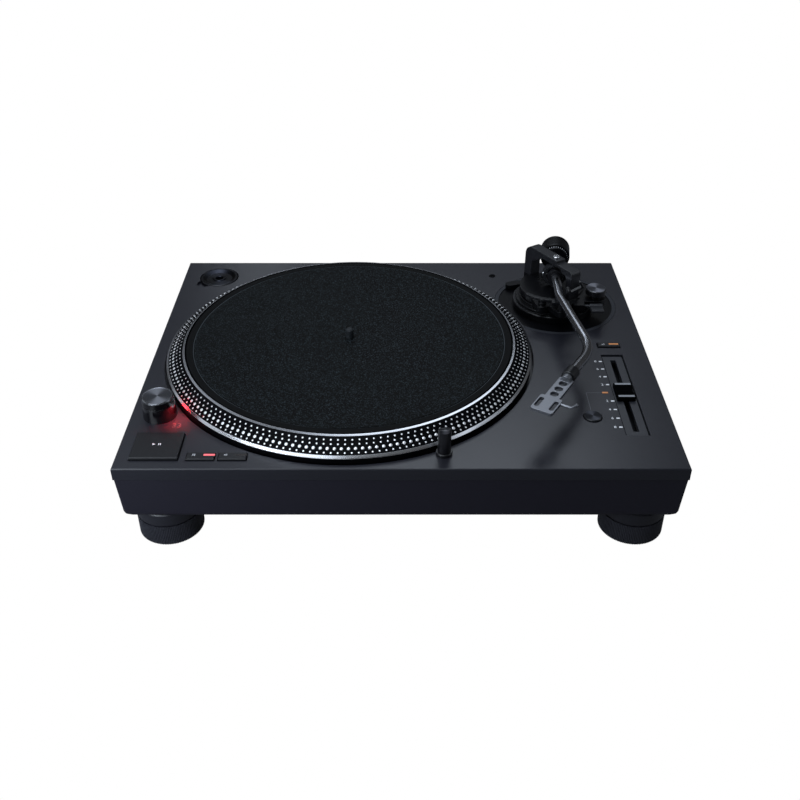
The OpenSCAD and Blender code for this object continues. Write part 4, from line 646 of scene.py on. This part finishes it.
class RingTree:
    """A Geometry Nodes tree that adds a ring of small solids to the geometry that it is given."""

    INPUTS = (("Count", "Int"), ("Radius", "Float"), ("Size", "Vector"), ("Centre", "Vector"), ("Turn", "Rotation"),
              ("Slope", "Float"), ("Material", "Material"))
    DOT_SEGMENTS = 12
    DOT_RINGS = 6

    def __init__(self, shape: Shape) -> None:
        """Makes the tree with its named inputs.

        Args:
            shape: the solid that it repeats.
        """
        self.shape = shape
        self.tree = bpy.data.node_groups.new(f"ring_of_{shape.value}s", "GeometryNodeTree")
        self.keys: dict[str, str] = {}
        face = self.tree.interface
        face.new_socket(name="Geometry", in_out="INPUT", socket_type="NodeSocketGeometry")
        for name, kind in self.INPUTS:
            self.keys[name] = face.new_socket(name=name, in_out="INPUT", socket_type="NodeSocket" + kind).identifier
        face.new_socket(name="Geometry", in_out="OUTPUT", socket_type="NodeSocketGeometry")
        self.build()

    def add(self, kind: str, **settings: object) -> bpy.types.Node:
        """Adds a node.

        Args:
            kind: the node's Blender type.
            settings: attributes of the node.

        Returns:
            The node.
        """
        made = self.tree.nodes.new(kind)
        for key, value in settings.items():
            setattr(made, key, value)
        return made

    def link(self, source: bpy.types.Node, out: Key, target: bpy.types.Node, into: Key) -> None:
        """Links an output of one node to an input of another."""
        self.tree.links.new(source.outputs[out], target.inputs[into])

    def build(self) -> None:
        """Lays out the tree: a circle of points, a solid on each, then place, finish and join."""
        given = self.add("NodeGroupInput")
        circle = self.add("GeometryNodeMeshCircle", fill_type="NONE")
        self.link(given, "Count", circle, "Vertices")
        self.link(given, "Radius", circle, "Radius")
        placed = self.add("GeometryNodeInstanceOnPoints")
        self.link(circle, "Mesh", placed, "Points")
        self.link(self.solid(), "Mesh", placed, "Instance")
        self.link(self.aim(given), 0, placed, "Rotation")
        self.link(given, "Size", placed, "Scale")
        real = self.add("GeometryNodeRealizeInstances")
        self.link(placed, 0, real, 0)
        moved = self.add("GeometryNodeTransform")
        self.link(real, 0, moved, "Geometry")
        self.link(given, "Centre", moved, "Translation")
        self.link(given, "Turn", moved, "Rotation")
        smooth = self.add("GeometryNodeSetShadeSmooth")
        smooth.inputs["Shade Smooth"].default_value = self.shape is Shape.DOT
        self.link(moved, 0, smooth, "Geometry")
        finish = self.add("GeometryNodeSetMaterial")
        self.link(smooth, 0, finish, "Geometry")
        self.link(given, "Material", finish, "Material")
        join = self.add("GeometryNodeJoinGeometry")
        self.link(finish, 0, join, 0)
        self.link(given, "Geometry", join, 0)
        self.link(join, 0, self.add("NodeGroupOutput"), 0)

    def solid(self) -> bpy.types.Node:
        """Adds the node of the small solid, one unit large.

        Returns:
            The node, with an output named Mesh.
        """
        if self.shape is Shape.BAR:
            bar = self.add("GeometryNodeMeshCube")
            bar.inputs["Size"].default_value = (1.0, 1.0, 1.0)
            return bar
        dot = self.add("GeometryNodeMeshUVSphere")
        dot.inputs["Segments"].default_value = self.DOT_SEGMENTS
        dot.inputs["Rings"].default_value = self.DOT_RINGS
        dot.inputs["Radius"].default_value = 1.0
        return dot

    def aim(self, given: bpy.types.Node) -> bpy.types.Node:
        """Adds the nodes that turn each solid: a bar along the radius, a dot upright on the slope.

        Args:
            given: the tree's inputs.

        Returns:
            The node whose first output is the rotation.
        """
        outward = self.add("ShaderNodeVectorMath", operation="NORMALIZE")
        self.link(self.add("GeometryNodeInputPosition"), 0, outward, 0)
        if self.shape is Shape.BAR:
            along = self.add("FunctionNodeAlignRotationToVector", axis="X")
            self.link(outward, 0, along, "Vector")
            return along
        sine = self.add("ShaderNodeMath", operation="SINE")
        cosine = self.add("ShaderNodeMath", operation="COSINE")
        for wave in (sine, cosine):
            self.link(given, "Slope", wave, 0)
        lean = self.add("ShaderNodeVectorMath", operation="SCALE")
        self.link(outward, 0, lean, 0)
        self.link(sine, 0, lean, "Scale")
        rise = self.add("ShaderNodeCombineXYZ")
        self.link(cosine, 0, rise, "Z")
        normal = self.add("ShaderNodeVectorMath", operation="ADD")
        self.link(lean, 0, normal, 0)
        self.link(rise, 0, normal, 1)
        upright = self.add("FunctionNodeAlignRotationToVector", axis="Z")
        self.link(normal, 0, upright, "Vector")
        return upright

    def put(self, holder: bpy.types.Object, ring: Ring, material: bpy.types.Material) -> None:
        """Adds a ring to an object as a modifier.

        Args:
            holder: the object.
            ring: the ring.
            material: the material of its solids.
        """
        modifier = holder.modifiers.new("ring", "NODES")
        modifier.node_group = self.tree
        values = {"Count": ring.count, "Radius": ring.radius, "Size": ring.size, "Centre": ring.centre,
                  "Turn": ring.turn, "Slope": ring.slope, "Material": material}
        for name, value in values.items():
            modifier[self.keys[name]] = value


@dataclass(frozen=True)
class Mark:
    """A figure printed on an upward face."""

    text: str
    place: Point
    height: float


class Workshop:
    """Makes the small pieces and lets each ride on its body."""

    CORNERS = ((-0.5, -0.5), (0.5, -0.5), (0.5, 0.5), (-0.5, 0.5))
    BOX_FACES = ((0, 3, 2, 1), (4, 5, 6, 7), (0, 1, 5, 4), (1, 2, 6, 5), (2, 3, 7, 6), (3, 0, 4, 7))

    def __init__(self, painter: Painter) -> None:
        """Keeps the painter, and makes a tree for each shape."""
        self.painter = painter
        self.trees = {shape: RingTree(shape) for shape in Shape}

    @staticmethod
    def link(name: str, data: bpy.types.ID) -> bpy.types.Object:
        """Puts an object in the scene.

        Args:
            name: its name.
            data: what it shows.

        Returns:
            The object.
        """
        made = bpy.data.objects.new(name, data)
        bpy.context.scene.collection.objects.link(made)
        return made

    @staticmethod
    def plain(holder: bpy.types.Object) -> bpy.types.Mesh:
        """An object as a plain mesh, with its modifiers applied."""
        return bpy.data.meshes.new_from_object(holder.evaluated_get(bpy.context.evaluated_depsgraph_get()))

    def rings(self, name: str, body: str, rings: Sequence[Ring], finish: Finish) -> None:
        """Makes one piece of several rings.

        Args:
            name: the piece's name.
            body: the CAD body that it rides on.
            rings: the rings.
            finish: their finish.
        """
        material = self.painter.material(finish)
        holder = self.link(name, bpy.data.meshes.new(name))
        for ring in rings:
            self.trees[ring.shape].put(holder, ring, material)
        mesh = self.plain(holder)
        holder.modifiers.clear()
        holder.data = mesh
        LOG.info("piece %s on %s", name, body)
        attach(holder, body)

    def boxes(self, name: str, body: str, boxes: Sequence[Box], finish: Finish) -> None:
        """Makes one piece of upright boxes.

        Args:
            name: the piece's name.
            body: the CAD body that it rides on.
            boxes: each box's middle and size.
            finish: their finish.
        """
        points: list[Point] = []
        faces: list[Face] = []
        for middle, size in boxes:
            first = len(points)
            for z in (-0.5, 0.5):
                for x, y in self.CORNERS:
                    points.append((middle[0] + x * size[0], middle[1] + y * size[1], middle[2] + z * size[2]))
            faces += [tuple(first + i for i in face) for face in self.BOX_FACES]
        self.solid(name, body, points, faces, finish)

    def solid(self, name: str, body: str, points: Sequence[Point], faces: Sequence[Face],
              finish: Finish) -> None:
        """Makes a piece from points and faces.

        Args:
            name: the piece's name.
            body: the CAD body that it rides on.
            points: the corners.
            faces: the corners of each face, by their numbers.
            finish: its finish.
        """
        mesh = bpy.data.meshes.new(name)
        mesh.from_pydata(list(points), [], list(faces))
        mesh.materials.append(self.painter.material(finish))
        LOG.info("piece %s on %s", name, body)
        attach(self.link(name, mesh), body)

    def numerals(self, name: str, body: str, marks: Sequence[Mark], finish: Finish) -> None:
        """Makes one piece of plain figures that lie on upward faces.

        Args:
            name: the piece's name.
            body: the CAD body that it rides on.
            marks: the figures.
            finish: their finish.
        """
        points: list[Point] = []
        faces: list[Face] = []
        for mark in marks:
            text = bpy.data.curves.new(name + "_text", "FONT")
            text.body = mark.text
            text.size = mark.height
            text.align_x = "CENTER"
            text.align_y = "CENTER"
            text.extrude = PRINT / 2
            writer = self.link(name + "_text", text)
            mesh = self.plain(writer)
            place = Matrix.Translation(Vector(mark.place))
            first = len(points)
            points += [tuple(place @ v.co) for v in mesh.vertices]
            faces += [tuple(first + i for i in p.vertices) for p in mesh.polygons]
            bpy.data.objects.remove(writer)
            bpy.data.meshes.remove(mesh)
        self.solid(name, body, points, faces, finish)


@dataclass
class Trim:
    """A group of small pieces, with the workshop that makes them and the finishes for them."""

    shop: Workshop
    palette: Palette

    def build(self) -> None:
        """Makes the pieces."""
        raise NotImplementedError


@dataclass
class StrobeBand(Trim):
    """The polished dots on the platter's sloped band: their rows by count, share of the band's width and size."""

    counts: tuple[int, ...] = (170, 174, 180, 186)
    shares: tuple[float, ...] = (0.2, 0.42, 0.645, 0.86)
    sizes: tuple[float, ...] = (0.00078, 0.00082, 0.00138, 0.0008)
    flatness: float = 0.25
    inner: Place = (0.1505, AT.deck + 0.0153)
    outer: Place = (0.1645, AT.deck + 0.0063)

    def build(self) -> None:
        """Makes the rows as one piece on the platter."""
        slope = math.atan2(self.inner[1] - self.outer[1], self.outer[0] - self.inner[0])
        rings = []
        for count, share, size in zip(self.counts, self.shares, self.sizes):
            radius = self.inner[0] + share * (self.outer[0] - self.inner[0])
            height = self.inner[1] + share * (self.outer[1] - self.inner[1])
            rings.append(Ring(Shape.DOT, count, radius, (size, size, self.flatness * size), (*AT.spindle, height),
                              slope=slope))
        self.shop.rings("strobe_dots", "turning_platter", rings, self.palette.dots)


@dataclass
class PitchScale(Trim):
    """The fader's printed scale, its guide line, the painted shade round its sunk plate and the knob's bars."""

    step: float = 0.01255
    first: float = 0.0502
    figures: tuple[str, ...] = ("8", "6", "4", "2", "", "2", "4", "6", "8")
    figure_x: float = AT.fader[0] - 0.0168
    figure_height: float = 0.0042
    dot_x: float = AT.fader[0] - 0.0122
    dot_size: Point = (0.0028, 0.0016, 0.00008)
    line_width: float = 0.0004
    line_across: Pair = (0.16675, 0.0127)
    line_down: Pair = (0.1605, 0.026)
    plate_half: Pair = (0.0099, 0.0616)
    plate_edge: float = 0.0009
    plate_z: float = AT.deck - 0.00148
    bar_offset: float = 0.0093
    bar_size: Point = (0.0138, 0.0026, 0.0001)
    knob_top: float = AT.deck + 0.003

    def build(self) -> None:
        """Makes the dots and figures, the guide line, the painted shade round the sunk plate and the bars on the knob.
        """
        dots, marks = [], []
        for i, figure in enumerate(self.figures):
            y = AT.fader[1] + self.first - i * self.step
            if figure:
                dots.append(((self.dot_x, y, AT.deck), self.dot_size))
                marks.append(Mark(figure, (self.figure_x, y, AT.deck), self.figure_height))
        self.shop.boxes("pitch_scale_dots", "cabinet", dots, self.palette.ink)
        self.shop.numerals("pitch_scale_figures", "cabinet", marks, self.palette.ink)
        self.shop.boxes("pitch_guide_line", "cabinet", self.guide(), self.palette.faint)
        # painted shade: a dark line where the sunk plate meets the deck
        self.shop.boxes("fader_plate_painted_shade", "cabinet", self.recess_shade_lines(), self.palette.shade)
        bars = [((AT.fader[0], AT.fader[1] + side * self.bar_offset, self.knob_top), self.bar_size)
                for side in (-1, 1)]
        self.shop.boxes("fader_knob_bars", "fader", bars, self.palette.knob_bar)

    def guide(self) -> list[Box]:
        """Lays out the line from the centre lamp to the reset button.

        Returns:
            Its boxes.
        """
        x, across = self.line_across
        corner, down = self.line_down
        return [((x, AT.fader[1], AT.deck), (across, self.line_width, PRINT)),
                ((corner, AT.fader[1] - down / 2, AT.deck), (self.line_width, down, PRINT))]

    def recess_shade_lines(self) -> list[Box]:
        """Lays out the painted shade round the sunk plate: a dark line where the recess's edge falls in shade.

        Returns:
            The boxes of both sides, then of both ends.
        """
        half_w, half_len = self.plate_half
        edge = self.plate_edge
        sides = [((AT.fader[0] + sign * (half_w - edge / 2), AT.fader[1], self.plate_z), (edge, 2 * half_len, PRINT))
                 for sign in (-1, 1)]
        ends = [((AT.fader[0], AT.fader[1] + sign * (half_len - edge / 2), self.plate_z), (2 * half_w, edge, PRINT))
                for sign in (-1, 1)]
        return sides + ends


@dataclass
class ButtonFaces(Trim):
    """What is printed on the buttons and lit in them, and the strobe figure on the deck, with its painted red glow."""

    small_top: float = AT.deck + 0.0016
    figure_height: float = 0.003
    speed_shift: float = 0.001
    speed_lamp_x: float = 0.007
    speed_lamp_size: Point = (0.009, 0.0022, 0.0001)
    speed_figure_x: float = -0.0054
    range_lamp: Place = (0.0045, 0.0004)
    range_lamp_size: Point = (0.0088, 0.0022, 0.0001)
    range_figure_x: float = -0.0052
    strobe_figure_height: float = 0.0082

    def build(self) -> None:
        """Makes the figures and the lamps."""
        shop, palette, top = self.shop, self.palette, self.small_top
        for name, place, lamp in (("33", AT.speed_33, palette.red_lamp), ("45", AT.speed_45, palette.dark_lamp)):
            x, y = place[0], place[1] + self.speed_shift
            shop.boxes(f"speed_{name}_lamp", f"speed_{name}",
                       [((x + self.speed_lamp_x, y, top), self.speed_lamp_size)], lamp)
            shop.numerals(f"speed_{name}_figure", f"speed_{name}",
                          [Mark(name, (x + self.speed_figure_x, y, top), self.figure_height)], palette.ink)
        x, y = AT.range_button
        shop.boxes("range_lamp", "range_button",
                   [((x + self.range_lamp[0], y + self.range_lamp[1], top), self.range_lamp_size)],
                   palette.amber_lamp)
        shop.numerals("range_figure", "range_button",
                      [Mark("x2", (x + self.range_figure_x, y, top), self.figure_height)], palette.ink)
        # the strobe figure glows with a painted red glow of the strobe lamp's light
        shop.numerals("strobe_figure", "cabinet",
                      [Mark("33", (*AT.strobe_figure, AT.deck), self.strobe_figure_height)], palette.print_with_painted_red_glow)


@dataclass
class StartSign(Trim):
    """The start button's sign: a triangle, and two bars beside it."""

    low: float = AT.deck + 0.0026
    thickness: float = 0.00005
    shift: float = 0.0007
    half: float = 0.0013
    triangle: Pair = (-0.0036, -0.0012)
    bars: Pair = (0.0014, 0.0028)
    bar_width: float = 0.0006

    def build(self) -> None:
        """Makes the triangle and the bars."""
        x, y = AT.start[0], AT.start[1] + self.shift
        heights = (self.low, self.low + self.thickness)
        back, tip = (x + dx for dx in self.triangle)
        points = [(px, py, z) for px, py in ((back, y - self.half), (back, y + self.half), (tip, y)) for z in heights]
        faces = [(0, 2, 4), (1, 5, 3), (0, 4, 5, 1), (4, 2, 3, 5), (2, 0, 1, 3)]
        self.shop.solid("start_sign", "start_button", points, faces, self.palette.ink)
        bars = [((x + dx, y, sum(heights) / 2), (self.bar_width, 2 * self.half, 2 * self.thickness))
                for dx in self.bars]
        self.shop.boxes("pause_sign", "start_button", bars, self.palette.ink)


@dataclass
class SocketShade(Trim):
    """A painted shade round the small socket behind the platter: a dark flat ring on the deck."""

    count: int = 32
    outer: float = 0.0034
    inner: float = 0.0017

    def build(self) -> None:
        """Makes the painted shade as a flat closed ring."""
        count, low, top = self.count, AT.deck, AT.deck + PRINT
        turns = [FULL_TURN * i / count for i in range(count)]
        points = [(AT.socket[0] + r * math.cos(t), AT.socket[1] + r * math.sin(t), z)
                  for r, z in ((self.outer, low), (self.inner, low), (self.outer, top), (self.inner, top))
                  for t in turns]
        faces = []
        for i in range(count):
            j = (i + 1) % count
            low_out, low_in, top_out, top_in = ((k * count + i, k * count + j) for k in range(4))
            faces += [(top_out[0], top_out[1], top_in[1], top_in[0]), (low_out[1], low_out[0], low_in[0], low_in[1]),
                      (low_out[0], low_out[1], top_out[1], top_out[0]), (low_in[1], low_in[0], top_in[0], top_in[1])]
        # painted shade round the socket's hole
        self.shop.solid("socket_painted_shade", "cabinet", points, faces, self.palette.shade)


@dataclass
class ArmMarks(Trim):
    """The scales of the tonearm's rings."""

    dial_at: float = 0.0336
    dial_radius: float = 0.0125
    dial_ticks: int = 36
    dial_tick: Point = (0.0001, 0.0004, 0.0018)
    ring_radius: float = 0.0379
    ring_ticks: int = 60
    ring_tick: Point = (0.0012, 0.0003, 0.0001)
    ring_z: float = AT.deck + 0.00715

    def build(self) -> None:
        """Makes the ticks of the tracking force dial and the height ring."""
        behind = Vector((-math.sin(AT.shaft_heading), math.cos(AT.shaft_heading), 0.0)) * self.dial_at
        centre = (AT.pivot[0] + behind.x, AT.pivot[1] + behind.y, AT.arm_z)
        turn = (-math.pi / 2, 0.0, AT.shaft_heading)
        dial = Ring(Shape.BAR, self.dial_ticks, self.dial_radius, self.dial_tick, centre, turn)
        self.shop.rings("force_dial_ticks", "force_dial", [dial], self.palette.ink)
        ring = Ring(Shape.BAR, self.ring_ticks, self.ring_radius, self.ring_tick, (*AT.pivot, self.ring_z))
        self.shop.rings("height_ring_ticks", "ring", [ring], self.palette.faint)


@dataclass(frozen=True)
class Lamp:
    """A soft rectangular light."""

    name: str
    place: Point
    power: float
    size: Pair
    target: Point = (0.0, 0.0, 0.05)
    colour: Colour = (0.82, 0.9, 1.0)
    mirrored: bool = True


@dataclass
class Stage:
    """The camera, the pale floor and the soft light."""

    lens: float = 43.75
    camera: Point = (-0.00086, -0.7665, 0.5635)
    pitch: float = math.radians(55.15)
    clip: float = 0.01
    white: Colour = (1.0, 1.0, 1.0)
    mirror_share: float = 0.05
    surround: Colour = (0.78, 0.87, 1.0)
    surround_strength: float = 0.012
    paper: Colour = (0.11, 0.114, 0.128)
    floor_half: float = 6.0
    lamps: tuple[Lamp, ...] = (
        Lamp("back_softbox", (0.14, 1.0, 1.46), 5.8, (0.74, 1.0)),
        Lamp("low_softbox", (0.026, 1.514, 0.859), 0.12, (0.55, 0.3)),
        Lamp("side_softbox", (-0.845, 0.939, 1.225), 0.75, (0.7, 0.5)),
        Lamp("top_softbox", (-0.3, -0.2, 1.7), 20.0, (1.4, 1.2)),
        Lamp("front_softbox", (-0.7, -1.0, 1.25), 3.0, (1.0, 0.8)),
        Lamp("right_softbox", (1.25, -0.1, 0.85), 2.2, (0.9, 0.9)),
        Lamp("left_softbox", (-1.4, 0.15, 0.62), 1.1, (0.9, 0.7)),
        Lamp("corner_softbox", (-0.44, -0.44, 0.22), 2.1, (0.3, 0.3), (-0.18, -0.17, 0.06)),
        Lamp("strip_light", (-0.31, 1.31, 0.9), 0.5, (0.12, 0.6), (0.15, 0.05, 0.1)),
        Lamp("strobe_glow", (-0.1865, -0.1125, 0.1), 0.035, (0.008, 0.008), (-0.1865, -0.1125, 0.0),
             (1.0, 0.04, 0.05), False),
    )

    def build(self) -> None:
        """Sets up everything round the object."""
        scene = bpy.context.scene
        scene.view_settings.view_transform = "Standard"
        self.set_camera(scene)
        self.set_world(scene)
        self.set_floor()
        for lamp in self.lamps:
            self.set_lamp(lamp)

    def set_camera(self, scene: bpy.types.Scene) -> None:
        """Places the camera as the photograph's was.

        Args:
            scene: the scene that gets the camera.
        """
        data = bpy.data.cameras.new("camera")
        data.lens = self.lens
        data.clip_start = self.clip
        camera = Workshop.link("camera", data)
        camera.location = self.camera
        camera.rotation_euler = Euler((self.pitch, 0.0, 0.0))
        scene.camera = camera

    def shown(self, graph: Graph) -> Sock:
        """How much a ray sees of the white background.

        Args:
            graph: the graph of the world or the floor.

        Returns:
            All of it for the camera's rays and what passes through, and a share of it for a mirrored ray.
        """
        path = graph.node("ShaderNodeLightPath", {}).out.node
        rays = {ray: Sock(graph, Graph.pick(path.outputs, ray.value)) for ray in Ray}
        clear = graph.math("MAXIMUM", rays[Ray.CAMERA], rays[Ray.THROUGH])
        return graph.math("MAXIMUM", clear, rays[Ray.GLOSSY] * self.mirror_share)

    def set_world(self, scene: bpy.types.Scene) -> None:
        """Sets a white background for the camera and a dim surround for the object.

        Args:
            scene: the scene that gets the world.
        """
        world = bpy.data.worlds.new("surround")
        world.use_nodes = True
        scene.world = world
        graph = Graph(world.node_tree)
        around = graph.node("ShaderNodeBackground", {"Color": self.surround, "Strength": self.surround_strength})
        white = graph.node("ShaderNodeBackground", {"Color": self.white, "Strength": 1.0})
        both = graph.node("ShaderNodeMixShader", {"Fac": self.shown(graph), "Shader": around, "Shader_001": white})
        graph.close("ShaderNodeOutputWorld", both)

    def set_floor(self) -> None:
        """Lays a floor that the camera sees as white."""
        mesh = bpy.data.meshes.new("floor")
        half = self.floor_half
        mesh.from_pydata([(-half, -half, 0), (half, -half, 0), (half, half, 0), (-half, half, 0)], [], [(0, 1, 2, 3)])
        made = bpy.data.materials.new("floor_paper")
        made.use_nodes = True
        graph = Graph(made.node_tree)
        paper = graph.node("ShaderNodeBsdfDiffuse", {"Color": self.paper})
        white = graph.node("ShaderNodeEmission", {"Color": self.white, "Strength": 1.0})
        both = graph.node("ShaderNodeMixShader", {"Fac": self.shown(graph), "Shader": paper, "Shader_001": white})
        graph.close("ShaderNodeOutputMaterial", both)
        mesh.materials.append(made)
        floor = Workshop.link("floor", mesh)
        floor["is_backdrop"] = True

    @staticmethod
    def set_lamp(lamp: Lamp) -> None:
        """Adds a soft rectangular light.

        Args:
            lamp: its place, power, size and aim.
        """
        data = bpy.data.lights.new(lamp.name, "AREA")
        data.shape = "RECTANGLE"
        data.energy = lamp.power
        data.color = lamp.colour
        data.size, data.size_y = lamp.size
        light = Workshop.link(lamp.name, data)
        light.location = lamp.place
        light.rotation_euler = (Vector(lamp.target) - light.location).to_track_quat("-Z", "Y").to_euler()
        light.visible_camera = False
        light.visible_glossy = lamp.mirrored


class Turntable:
    """The whole visual: finishes on the CAD nodes, and the small pieces on their bodies."""

    def __init__(self) -> None:
        """Loads the frame and measures it."""
        self.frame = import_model()
        self.first_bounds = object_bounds()
        self.palette = Palette()
        self.painter = Painter()
        self.shop = Workshop(self.painter)

    def build(self) -> None:
        self.coat()
        for group in (StrobeBand, PitchScale, ButtonFaces, StartSign, SocketShade, ArmMarks):
            group(self.shop, self.palette).build()
            LOG.info("built %s", group.__name__)
        Stage().build()
        self.write_size()

    def coat(self) -> None:
        """Gives each CAD node its finish."""
        finishes = self.palette.of_nodes()
        for name, node in self.frame["nodes"].items():
            node.data.materials.clear()
            node.data.materials.append(self.painter.material(finishes[name]))
            LOG.info("finish %s on %s", finishes[name].name, name)

    def write_size(self) -> None:
        """Gathers the bounds before and after as plain lists; nothing is written."""
        sizes = {"cad": [list(v) for v in self.first_bounds], "visual": [list(v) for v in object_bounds()]}


def main() -> None:
    """Builds the scene."""
    logging.basicConfig(level=logging.INFO)
    Turntable().build()


if __name__ == "__main__":
    main()
